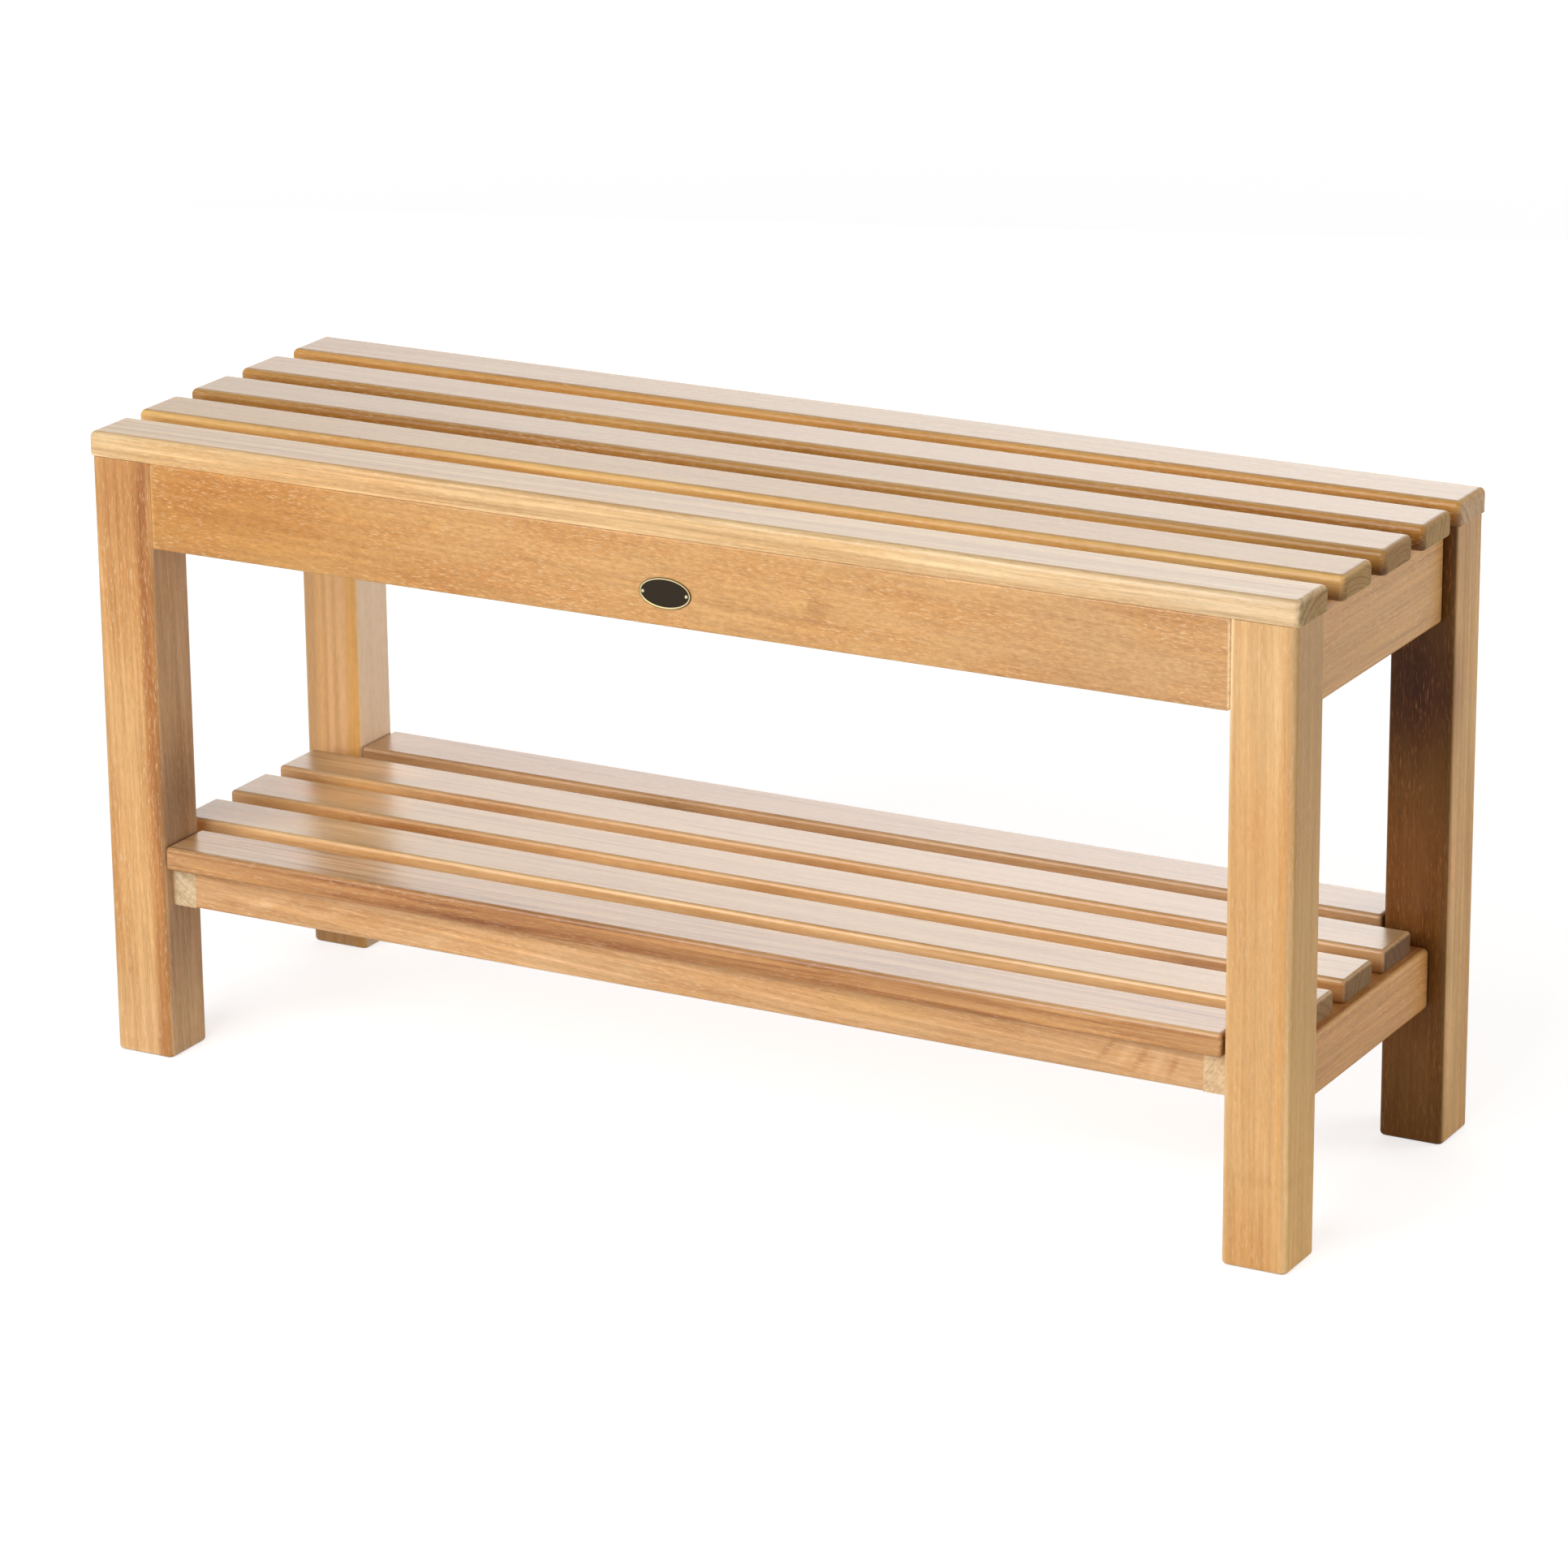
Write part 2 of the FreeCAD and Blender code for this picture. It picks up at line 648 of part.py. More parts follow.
# Shelf slats; the short ones are screwed to the rails, the long ones to the cleats and the brace.
outer_rails = {front_slat: "front", rear_slat: "rear"}
for number in slats:
    middle_y = f"{number - middle_slat} * Places.shelf_slat_pitch"
    shelf_slat = slat(
        f"shelf_slat_{number}",
        f"Places.{'long' if number in inner_slats else 'short'}_shelf_slat_length",
        "Sizes.shelf_slat_width",
        "Sizes.shelf_slat_thickness",
        middle_y,
        "Places.shelf_underside",
        "Sizes.shelf_slat_edge_radius",
        "Sizes.slat_under_radius",
    )
    if number in inner_slats:
        holders = [
            (shelf_cleats[end], f"{out} * Places.shelf_cleat_x", middle_y, "Sizes.shelf_rail_height")
            for end, out in end_shares.items()
        ]
        holders.append((shelf_brace, "0", middle_y, "Sizes.brace_thickness"))
    else:
        face = outer_rails[number]
        rail_y = f"{face_shares[face]} * Places.shelf_rail_y"
        holders = [
            (shelf_rails[face], f"{share} * Places.shelf_rail_length", rail_y, "Sizes.shelf_rail_height")
            for share in rail_screw_place_shares
        ]
    for holder, x, y, height in holders:
        screw_holes(
            "shelf_screws",
            holder,
            shelf_slat,
            (x, y, f"Places.shelf_underside - {height}"),
            height,
            along_z,
            "Places.slat_screw_grip",
        )

# Blank oval plate on the front apron: a raised rim round a lower field.
badge = new_body("badge_plate", ("0", "-Places.long_apron_face_y", "Places.badge_z"))
outline = new_sketch(badge, "XZ_Plane", "badge_outline")
draw_oval(outline, "Sizes.badge_width", "Sizes.badge_height")
plate = badge.newObject("PartDesign::Pad", "badge_pad")
plate.Profile = outline
plate.setExpression("Length", "Sizes.badge_thickness")
doc.recompute()


def front_rim(edge, box):
    return edge.BoundBox.YMax - box.YMin < box.YLength * tolerance_share


round_over(badge, "rim", "Sizes.badge_rim_radius", front_rim)
field = new_sketch(badge, "XZ_Plane", "badge_field")
field.setExpression("AttachmentOffset.Base.z", "Sizes.badge_thickness")
draw_oval(
    field,
    "Sizes.badge_width - 2 * Sizes.badge_rim_width",
    "Sizes.badge_height - 2 * Sizes.badge_rim_width",
)
lowered = badge.newObject("PartDesign::Pocket", "badge_lowered_field")
lowered.Profile = field
lowered.setExpression("Length", "Sizes.badge_field_depth")
for out in end_shares.values():
    pin_x = f"{out} * Places.badge_pin_x"
    head_seat = (pin_x, "-Places.badge_field_y", "Places.badge_z")
    apron_face = (pin_x, "-Places.long_apron_face_y", "Places.badge_z")
    bore(badge, "pin_hole", head_seat, along_y, "Places.badge_pin_hole", "Sizes.badge_thickness")
    depth = "Sizes.badge_pin_length + Sizes.hole_clearance"
    bore(long_aprons["front"], "pin_hole", apron_face, along_y, "Places.badge_pin_hole", depth)
    fastener_spots.setdefault("badge_pins", []).append((head_seat, along_y))


# A round-headed fastener along Z, its head's seat at zero.
def headed(name, diameter, length, head_diameter, head_height):
    shank = doc.addObject("Part::Cylinder", f"{name}_shank")
    bind(shank, {"Radius": f"({diameter}) / 2", "Height": length})
    head = doc.addObject("Part::Cylinder", f"{name}_head")
    bind(head, {"Radius": f"({head_diameter}) / 2", "Height": head_height})
    head.setExpression("Placement.Base.z", f"-({head_height})")
    whole = doc.addObject("Part::Fuse", f"{name}_whole")
    whole.Base = shank
    whole.Tool = head
    return whole


def socket_screw(name, grip):
    length = f"({grip}) + Sizes.screw_bite"
    whole = headed(
        name, "Sizes.screw_diameter", length, "Sizes.screw_head_diameter", "Sizes.screw_head_height"
    )
    socket = doc.addObject("Part::Prism", f"{name}_socket")
    socket.Polygon = 6
    bind(socket, {"Circumradius": "Sizes.screw_socket_width / 2", "Height": "Sizes.screw_socket_depth"})
    socket.setExpression("Placement.Base.z", "-Sizes.screw_head_height")
    screw = doc.addObject("Part::Cut", name)
    screw.Base = whole
    screw.Tool = socket
    return screw


def dowel(name, diameter, length):
    pin = doc.addObject("Part::Cylinder", name)
    bind(pin, {"Radius": f"({diameter}) / 2", "Height": length})
    return pin


slat_screw = socket_screw("slat_screw", "Places.slat_screw_grip")
fasteners = {
    "leg_dowels": dowel("leg_dowel", "Sizes.leg_dowel_diameter", "Sizes.leg_dowel_length"),
    "rail_dowels": dowel("rail_dowel", "Sizes.rail_dowel_diameter", "Sizes.rail_dowel_length"),
    "seat_screws": slat_screw,
    "shelf_screws": slat_screw,
    "seat_cleat_screws": socket_screw("seat_cleat_screw", "Places.seat_cleat_screw_grip"),
    "shelf_cleat_screws": socket_screw("shelf_cleat_screw", "Places.shelf_cleat_screw_grip"),
    "badge_pins": headed(
        "badge_pin",
        "Sizes.badge_pin_diameter",
        "Sizes.badge_pin_length",
        "Sizes.badge_pin_head_diameter",
        "Sizes.badge_pin_head_height",
    ),
}
doc.recompute()

# Each group of like fasteners is one node: a copy of its fastener at every spot.
groups = []
for label, pattern in fasteners.items():
    copies = []
    for point, direction in fastener_spots[label]:
        spot = FreeCAD.Vector(*[float(places.evalExpression(rule)) for rule in point])
        copy = pattern.Shape.copy()
        copy.Placement = FreeCAD.Placement(spot, FreeCAD.Rotation(along_z, direction))
        copies.append(copy)
    group = doc.addObject("Part::Feature", label)
    group.Label = label
    group.Shape = Part.makeCompound(copies)
    groups.append(group)
doc.recompute()

# Nothing is written unless every object is sound and every cut has taken something away.
for thing in doc.Objects:
    if {"Invalid", "Error"} & set(thing.State):
        raise RuntimeError(f"{thing.Label}: {thing.State}")
bodies = [thing for thing in doc.Objects if thing.TypeId == "PartDesign::Body"]
cutting = ("PartDesign::SubtractiveBox", "PartDesign::SubtractiveCylinder", "PartDesign::Pocket")
for body in bodies:
    for feature in body.Group:
        if feature.TypeId in cutting and feature.Shape.Volume >= feature.BaseFeature.Shape.Volume:
            raise RuntimeError(f"{feature.Label} cuts nothing")
    if len(body.Shape.Solids) != 1:
        raise RuntimeError(f"{body.Label} is not one solid")
for node in bodies + groups:
    if node.Shape.isNull() or not node.Shape.isValid():
        raise RuntimeError(f"{node.Label} has no sound shape")

os.makedirs("parts", exist_ok=True)
for node in bodies + groups:
    node.Shape.exportStep(f"parts/{node.Label}.step")
print(len(bodies) + len(groups), "nodes written")
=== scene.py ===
import json
import math
import bpy
from mathutils import Matrix, Vector

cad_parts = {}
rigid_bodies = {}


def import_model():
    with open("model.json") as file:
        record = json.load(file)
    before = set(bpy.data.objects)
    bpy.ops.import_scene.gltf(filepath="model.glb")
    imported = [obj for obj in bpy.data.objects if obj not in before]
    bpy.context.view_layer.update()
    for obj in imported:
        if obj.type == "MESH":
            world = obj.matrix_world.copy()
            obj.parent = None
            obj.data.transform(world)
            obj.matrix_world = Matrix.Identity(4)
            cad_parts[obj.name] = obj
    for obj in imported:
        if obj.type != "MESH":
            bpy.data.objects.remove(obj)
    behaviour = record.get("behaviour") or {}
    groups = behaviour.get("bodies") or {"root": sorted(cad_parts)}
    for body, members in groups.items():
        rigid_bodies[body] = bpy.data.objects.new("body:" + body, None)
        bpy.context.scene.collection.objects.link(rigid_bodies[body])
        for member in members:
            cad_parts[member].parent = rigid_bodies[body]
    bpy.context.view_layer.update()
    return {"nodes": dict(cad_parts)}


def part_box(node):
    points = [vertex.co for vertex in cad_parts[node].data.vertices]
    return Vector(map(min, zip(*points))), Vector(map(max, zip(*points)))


# Teak shower bench: looks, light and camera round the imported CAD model
# Metres, +X along the bench, -Y its front, floor at z = 0
for startupObject in list(bpy.data.objects):
    bpy.data.objects.remove(startupObject)
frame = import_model()
nodes = frame["nodes"]
print("frame loaded:", len(nodes), "nodes")

mm = 0.001


def toLinear(hexCode):      # sRGB hex to the linear colour that shaders take
    channels = [int(hexCode[place:place + 2], 16) / 255 for place in (1, 3, 5)]
    linear = [c / 12.92 if c <= 0.04045 else ((c + 0.055) / 1.055) ** 2.4 for c in channels]
    return (*linear, 1.0)


def addNode(tree, kind, inputs, **settings):    # Mix sockets: 0 share, 2 and 3 numbers, 6 and 7 colours
    node = tree.nodes.new("ShaderNode" + kind)
    for name, value in settings.items():
        setattr(node, name, value)
    for socket, value in inputs.items():
        if isinstance(value, bpy.types.NodeSocket):
            tree.links.new(value, node.inputs[socket])
        else:
            node.inputs[socket].default_value = value
    return node


def startMaterial(name):
    material = bpy.data.materials.new(name)
    material.use_nodes = True
    material.node_tree.nodes.clear()
    return material, material.node_tree


def wearMaterial(name, material):
    for slot in nodes[name].material_slots:
        slot.material = material


# camera, fitted to the photograph's edges
photoCamera = {
    "azimuth": 28.76,       # degrees round from straight in front, towards +X
    "elevation": 18.26,
    "roll": -0.52,
    "distance": 4.298,
    "aim": (0.0049, 0.00342),   # picture right and up, from a point on the bench's middle line
    "aimHeight": 0.220,
    "lens": 142.58,         # mm, and so is the sensor
    "sensor": 36.0,
}
azimuth = math.radians(photoCamera["azimuth"])
elevation = math.radians(photoCamera["elevation"])
flatShare = math.cos(elevation)
back = Vector((math.sin(azimuth) * flatShare, -math.cos(azimuth) * flatShare, math.sin(elevation)))
flatRight = Vector((math.cos(azimuth), math.sin(azimuth), 0))
roll = Matrix.Rotation(math.radians(photoCamera["roll"]), 3, back)
right = roll @ flatRight
up = roll @ back.cross(flatRight)
aim = Vector((0, 0, photoCamera["aimHeight"])) + right * photoCamera["aim"][0] + up * photoCamera["aim"][1]
cameraData = bpy.data.cameras.new("photoCamera")
cameraData.sensor_width = photoCamera["sensor"]
cameraData.lens = photoCamera["lens"]
camera = bpy.data.objects.new("photoCamera", cameraData)
bpy.context.scene.collection.objects.link(camera)
cameraTurn = Matrix((right, up, back)).transposed().to_4x4()
camera.matrix_world = Matrix.Translation(aim + back * photoCamera["distance"]) @ cameraTurn
bpy.context.scene.camera = camera
bpy.context.scene.view_settings.view_transform = "Standard"
print("camera placed at", [round(c, 3) for c in camera.location])

# studio: a white room, a large softbox in front and a little left, a weak one behind at the right,
# and a white panel behind left, which the tops of the slats mirror
studio = {
    "room": 0.168,          # light that the room gives to matt surfaces
    "roomTone": "#FFFFFF",
    "backdrop": 1.0,        # white where the camera sees the room
    "gloss": (0.28, 0.8),   # in reflections the room in front is dimmer than the white one behind,
    "glossSpan": (-0.2, 0.3),   # and it changes between these directions: -1 is front, 1 behind
    "floorSize": 24.0,
    "floorDrop": 0.2,       # mm below the feet
    "floorTone": "#CBCBCB",
    "bounceTone": "#E6E6E6",    # the floor, as it lights the bench
    "floorGlow": (0.70, 0.9),   # lifts the floor to white, near and far, and leaves the shadow
    "glowReach": (0.8, 4.0),    # metres from the bench's middle that are near and far
    "glowInGloss": 0.15,    # how much of that glow a reflection shows
    "footShade": 2.0,       # mm, the floor doesn't black out what is nearer than this
}
studioLamps = {
    "keySoftbox": {"place": (-0.5, -3.0, 1.6), "aim": (0, 0, 0.25), "size": (3.0, 2.6), "watts": 107},
    "fillSoftbox": {"place": (2.2, 1.5, 0.7), "aim": (0, 0, 0.25), "size": (1.6, 1.2), "watts": 29,
                    "mirrored": False},     # it would whiten the seat when seen from the left end
    "backPanel": {"place": (-1.1, 2.3, 0.74), "aim": (-0.25, 0, 0.4), "size": (2.4, 1.5), "watts": 27.5,
                  "fade": (1.56, 0.36)},     # brighter towards +X
}
for lampName, lamp in studioLamps.items():
    lampData = bpy.data.lights.new(lampName, "AREA")
    lampData.shape = "RECTANGLE"
    lampData.size, lampData.size_y = lamp["size"]
    lampData.energy = lamp["watts"]
    lampObject = bpy.data.objects.new(lampName, lampData)
    bpy.context.scene.collection.objects.link(lampObject)
    lampObject.location = lamp["place"]
    towards = Vector(lamp["aim"]) - Vector(lamp["place"])
    lampObject.rotation_euler = towards.to_track_quat("-Z", "Y").to_euler()
    lampObject.visible_camera = False
    lampObject.visible_glossy = lamp.get("mirrored", True)
    if "fade" in lamp:
        lampData.use_nodes = True
        tree = lampData.node_tree
        tree.nodes.clear()
        lampFace = addNode(tree, "NewGeometry", {})
        lampSide = addNode(tree, "SeparateXYZ", {0: lampFace.outputs["Parametric"]})
        faded = addNode(tree, "MapRange", {"Value": lampSide.outputs["X"], "To Min": lamp["fade"][0],
                                           "To Max": lamp["fade"][1]})
        lampGlow = addNode(tree, "Emission", {"Strength": faded.outputs[0]})
        addNode(tree, "OutputLight", {"Surface": lampGlow.outputs[0]})

world = bpy.data.worlds.new("studioRoom")
bpy.context.scene.world = world
world.use_nodes = True
tree = world.node_tree
tree.nodes.clear()
roomRay = addNode(tree, "LightPath", {})
direction = addNode(tree, "TexCoord", {})
directionParts = addNode(tree, "SeparateXYZ", {0: direction.outputs["Generated"]})
mirroredLight = addNode(tree, "MapRange", {
    "Value": directionParts.outputs["Y"],
    "From Min": studio["glossSpan"][0], "From Max": studio["glossSpan"][1],
    "To Min": studio["gloss"][0], "To Max": studio["gloss"][1]})
isMirrored = addNode(tree, "Math", {0: roomRay.outputs["Is Glossy Ray"],
                                    1: roomRay.outputs["Is Transmission Ray"]}, operation="MAXIMUM")
unseenLight = addNode(tree, "Mix", {0: isMirrored.outputs[0], 2: studio["room"],
                                    3: mirroredLight.outputs[0]})
roomLight = addNode(tree, "Mix", {0: roomRay.outputs["Is Camera Ray"], 2: unseenLight.outputs[0],
                                  3: studio["backdrop"]})
sky = addNode(tree, "Background", {"Color": toLinear(studio["roomTone"]), "Strength": roomLight.outputs[0]})
addNode(tree, "OutputWorld", {"Surface": sky.outputs[0]})

bpy.ops.object.select_all(action="DESELECT")
bpy.ops.mesh.primitive_plane_add(size=studio["floorSize"], location=(0, 0, -studio["floorDrop"] * mm))
floor = bpy.context.object
floor.name = "studioFloor"
material, tree = startMaterial("white vinyl sweep, matt")   # an even white that takes a soft shadow
floorRay = addNode(tree, "LightPath", {})
glowSeen = addNode(tree, "Math", {0: floorRay.outputs["Is Glossy Ray"], 1: studio["glowInGloss"],
                                  2: floorRay.outputs["Is Camera Ray"]}, operation="MULTIPLY_ADD")
glowShare = addNode(tree, "Math", {0: glowSeen.outputs[0], 1: floorRay.outputs["Is Transmission Ray"]},
                    operation="MAXIMUM")
floorPoint = addNode(tree, "TexCoord", {})
fromBench = addNode(tree, "VectorMath", {0: floorPoint.outputs["Object"]}, operation="LENGTH")
lift = addNode(tree, "MapRange", {"Value": fromBench.outputs["Value"],
                                  "From Min": studio["glowReach"][0], "From Max": studio["glowReach"][1],
                                  "To Min": studio["floorGlow"][0], "To Max": studio["floorGlow"][1]})
floorGlow = addNode(tree, "Emission", {"Strength": lift.outputs[0]})
matt = addNode(tree, "BsdfDiffuse", {"Color": toLinear(studio["floorTone"])})
shown = addNode(tree, "AddShader", {0: matt.outputs[0], 1: floorGlow.outputs[0]})
bounce = addNode(tree, "BsdfDiffuse", {"Color": toLinear(studio["bounceTone"])})
upperSide = addNode(tree, "MixShader", {0: glowShare.outputs[0], 1: bounce.outputs[0], 2: shown.outputs[0]})
clear = addNode(tree, "BsdfTransparent", {})
floorSide = addNode(tree, "NewGeometry", {})
underFoot = addNode(tree, "Math", {0: floorRay.outputs["Ray Length"], 1: studio["footShade"] * mm},
                    operation="LESS_THAN")
opened = addNode(tree, "Math", {0: floorSide.outputs["Backfacing"], 1: underFoot.outputs[0]},
                 operation="MAXIMUM")      # lets the bench and its feet be seen from below
oneSided = addNode(tree, "MixShader", {0: opened.outputs[0], 1: upperSide.outputs[0], 2: clear.outputs[0]})
addNode(tree, "OutputMaterial", {"Surface": oneSided.outputs[0]})
floor.data.materials.append(material)
print("studio lit:", ", ".join(studioLamps))

# Teak, planed, sanded and oiled: golden boards with uneven brown growth rings, long fine streaks,
# dark pores and pale flecks along the grain, edges sanded paler, and a satin sheen that whitens
# at a glancing angle
teak = {
    "material": "teak, sanded and oiled",
    "tone": "#D9A469",
    "faceTones": {},        # other wood on one side of the board, on the rear left leg's inner face also painted light: the side it faces, tone
    "bands": [],            # other wood beyond a line: axis, from, to and stray in mm from the middle, tone
    "spots": [],            # soft patches of other wood, and of painted light and shade: place and reach in mm, turn about Y in degrees, share of tone
    "lateWood": (0.72, 0.60, 0.45),     # late wood's share of the board's tone, in red, green and blue
    "warmWood": (0.95, 0.82, 0.66),     # orange patches
    "heartWood": (0.80, 0.68, 0.54),    # long brown streaks
    "poreWood": (0.70, 0.60, 0.50),
    "darkening": (1.0, 1.3, 1.6),       # a darker streak is warmer too,
    "paling": (1.0, 1.05, 1.05),        # a paler one keeps its colour
    "endGrainAndLight": (0.60, 0.57, 0.52),      # end grain soaks up more oil; the front apron's is kept as pale as its face as painted light, the shelf slats' is darker still as painted shade against their sheen
    "sandedEdgeAndLight": (1.05, 1.10, 1.15),     # rounded edges are sanded last; on the front right leg paler still, as painted light over the shaded groove by the apron
    "fleckTone": "#F4DCB2",
    "rings": 0.35,          # how strongly the rings show, 0 to 1,
    "lines": 0.25,          # the thin dark lines between them,
    "endRings": 0.8,        # and the rings on end grain
    "ring": 4.0,            # mm from ring to ring, about
    "pith": (30, 40),       # mm from the board's middle to the tree's, both ways across the grain
    "lean": (0.4, -0.3),    # degrees between the grain and the board
    "wander": 9.0,          # mm that a ring strays,
    "wanders": 11.0,        # how often in a metre across the grain,
    "wanderStretch": 0.2,   # and what share of that along it
    "patches": 0.5,
    "patch": (20, 90),      # mm across and along the grain, as for the next four
    "hearts": 0.5,
    "heart": (15, 260),
    "streaks": 0.2,
    "streak": (3.6, 220),
    "mottles": 0.05,
    "mottle": (2.6, 9.0),
    "flecks": 0.35,
    "looseFlecks": 0.35,    # share of the flecks outside their clusters
    "pores": 0.4,
    "fleck": (0.7, 6.5),    # real flecks and pores are 0.3 to 0.6 wide: drawn coarser to show
    "roughness": (0.30, 0.34),
    "endRoughness": 0.6,
    "refraction": 1.48,
    "specular": 0.5,
    "relief": (0.06, 0.1),  # strength, and depth in mm, of what sanding leaves
}
grainTurns = {"X": (0, math.pi / 2, 0), "Y": (-math.pi / 2, 0, 0), "Z": (0, 0, 0)}
acrossAxes = {"X": (1, 2), "Y": (0, 2), "Z": (0, 1)}
noiseMiddle = 0.5
noiseDetails = {            # detail and roughness of each noise
    "wander": (4.0, 0.5),
    "ring": (2.5, 0.6),
    "patch": (3.0, 0.5),
    "heart": (3.0, 0.6),
    "streak": (4.0, 0.75),
    "mottle": (2.0, 0.7),
    "fleck": (1.0, 0.5),
}
drawnPatterns = ("patch", "heart", "streak", "mottle", "fleck")     # long along the grain
maskLimits = {              # where each mask begins and where it is full
    "edge": (0.985, 0.85),      # how squarely a face looks along an axis
    "endGrain": (0.6, 0.98),
    "faceTone": (0.75, 0.97),
    "late": (0.45, 0.68),       # level of a noise
    "line": (0.05, 0.0),        # how far the ring noise is from its middle
    "patch": (0.35, 0.7),
    "heart": (0.48, 0.72),
    "cluster": (0.4, 0.62),
    "fleck": (0.58, 0.68),
    "pore": (0.38, 0.28),
    "shade": (0.3, 0.7),
    "gloss": (0.25, 0.75),
    "spot": (1.0, 0.0),         # distance from its place, as a share of its reach
}
markWoods = {               # the share of the tone that each mark takes
    "patch": "warmWood",
    "heart": "heartWood",
    "late": "lateWood",
    "line": "lateWood",
    "pore": "poreWood",
}


def limits(mask, sign=1):
    begins, full = maskLimits[mask]
    return {"From Min": begins * sign, "From Max": full * sign}


def addGrain(tree, point, middle, look):
    pith = middle.copy()
    for axis, distance in zip(acrossAxes[look["grain"]], look["pith"]):
        pith[axis] += distance * mm
    lean = [math.radians(angle) for angle in look["lean"]]
    lean.insert("XYZ".index(look["grain"]), 0)      # no turn about the grain itself
    turn = [straight + leaning for straight, leaning in zip(grainTurns[look["grain"]], lean)]
    wood = addNode(tree, "Mapping", {"Vector": point.outputs["Object"], "Location": pith, "Rotation": turn},
                   vector_type="TEXTURE")      # its z runs along the grain, from the tree's middle
    stretched = addNode(tree, "VectorMath", {0: wood.outputs[0], 1: (1, 1, look["wanderStretch"])},
                        operation="MULTIPLY")
    detail, roughness = noiseDetails["wander"]
    wander = addNode(tree, "TexNoise", {"Vector": stretched.outputs[0], "Scale": look["wanders"],
                                        "Detail": detail, "Roughness": roughness})
    stray = look["wander"] * mm
    strayed = addNode(tree, "VectorMath", {0: wander.outputs["Color"], 1: (stray, stray, 0),
                                           2: wood.outputs[0]}, operation="MULTIPLY_ADD")
    noises = {"wander": wander.outputs["Fac"]}
    for pattern in drawnPatterns:
        wide, long = look[pattern]
        detail, roughness = noiseDetails[pattern]
        drawn = addNode(tree, "VectorMath", {0: strayed.outputs[0], 1: (1, 1, wide / long)},
                        operation="MULTIPLY")
        noise = addNode(tree, "TexNoise", {"Vector": drawn.outputs[0], "Scale": 1 / (wide * mm),
                                           "Detail": detail, "Roughness": roughness})
        noises[pattern] = noise.outputs["Fac"]
    across = addNode(tree, "VectorMath", {0: strayed.outputs[0], 1: (1, 1, 0)}, operation="MULTIPLY")
    radius = addNode(tree, "VectorMath", {0: across.outputs[0]}, operation="LENGTH")
    detail, roughness = noiseDetails["ring"]
    rings = addNode(tree, "TexNoise", {"W": radius.outputs["Value"], "Scale": 1 / (look["ring"] * mm),
                                       "Detail": detail, "Roughness": roughness}, noise_dimensions="1D")
    noises["ring"] = rings.outputs["Fac"]
    return noises


def addSides(tree, point, grain):
    facing = addNode(tree, "SeparateXYZ", {0: point.outputs["Normal"]})
    square = []             # how squarely the face looks along X, Y and Z
    for axis in range(3):
        size = addNode(tree, "Math", {0: facing.outputs[axis]}, operation="ABSOLUTE")
        square.append(size.outputs[0])
    squareLevel = addNode(tree, "Math", {0: square[0], 1: square[1]}, operation="MAXIMUM")
    squarest = addNode(tree, "Math", {0: squareLevel.outputs[0], 1: square[2]}, operation="MAXIMUM")
    edge = addNode(tree, "MapRange", {"Value": squarest.outputs[0], **limits("edge")})
    endGrain = addNode(tree, "MapRange", {"Value": square["XYZ".index(grain)], **limits("endGrain")})
    return facing, edge.outputs[0], endGrain.outputs[0]


def addMarks(tree, noises, endGrain, look):
    ringShow = addNode(tree, "MapRange", {"Value": endGrain, "To Min": look["rings"],
                                          "To Max": look["endRings"]})
    fromMiddle = addNode(tree, "Math", {0: noises["ring"], 1: noiseMiddle}, operation="SUBTRACT")
    fromLine = addNode(tree, "Math", {0: fromMiddle.outputs[0]}, operation="ABSOLUTE")
    cluster = addNode(tree, "MapRange", {"Value": noises["patch"], **limits("cluster"),
                                         "To Min": look["looseFlecks"] * look["flecks"],
                                         "To Max": look["flecks"]})
    marks = {               # noise, strength
        "patch": (noises["patch"], look["patches"]),
        "heart": (noises["heart"], look["hearts"]),
        "late": (noises["ring"], ringShow.outputs[0]),
        "line": (fromLine.outputs[0], look["lines"]),
        "pore": (noises["fleck"], look["pores"]),
        "fleck": (noises["fleck"], cluster.outputs[0]),
    }
    masks = {}
    for mark, (noise, strength) in marks.items():
        mask = addNode(tree, "MapRange", {"Value": noise, **limits(mark), "To Max": strength},
                       interpolation_type="SMOOTHSTEP")
        masks[mark] = mask.outputs[0]
    return masks


def addShade(tree, noises, look):
    shades = []
    for pattern in ("streak", "mottle"):
        dark = [1 - look[pattern + "s"] * part for part in look["darkening"]]
        pale = [1 + look[pattern + "s"] * part for part in look["paling"]]
        level = addNode(tree, "MapRange", {"Value": noises[pattern], **limits("shade")})
        shade = addNode(tree, "Mix", {0: level.outputs[0], 6: (*dark, 1), 7: (*pale, 1)}, data_type="RGBA")
        shades.append(shade.outputs[2])
    return addNode(tree, "VectorMath", {0: shades[0], 1: shades[1]}, operation="MULTIPLY").outputs[0]


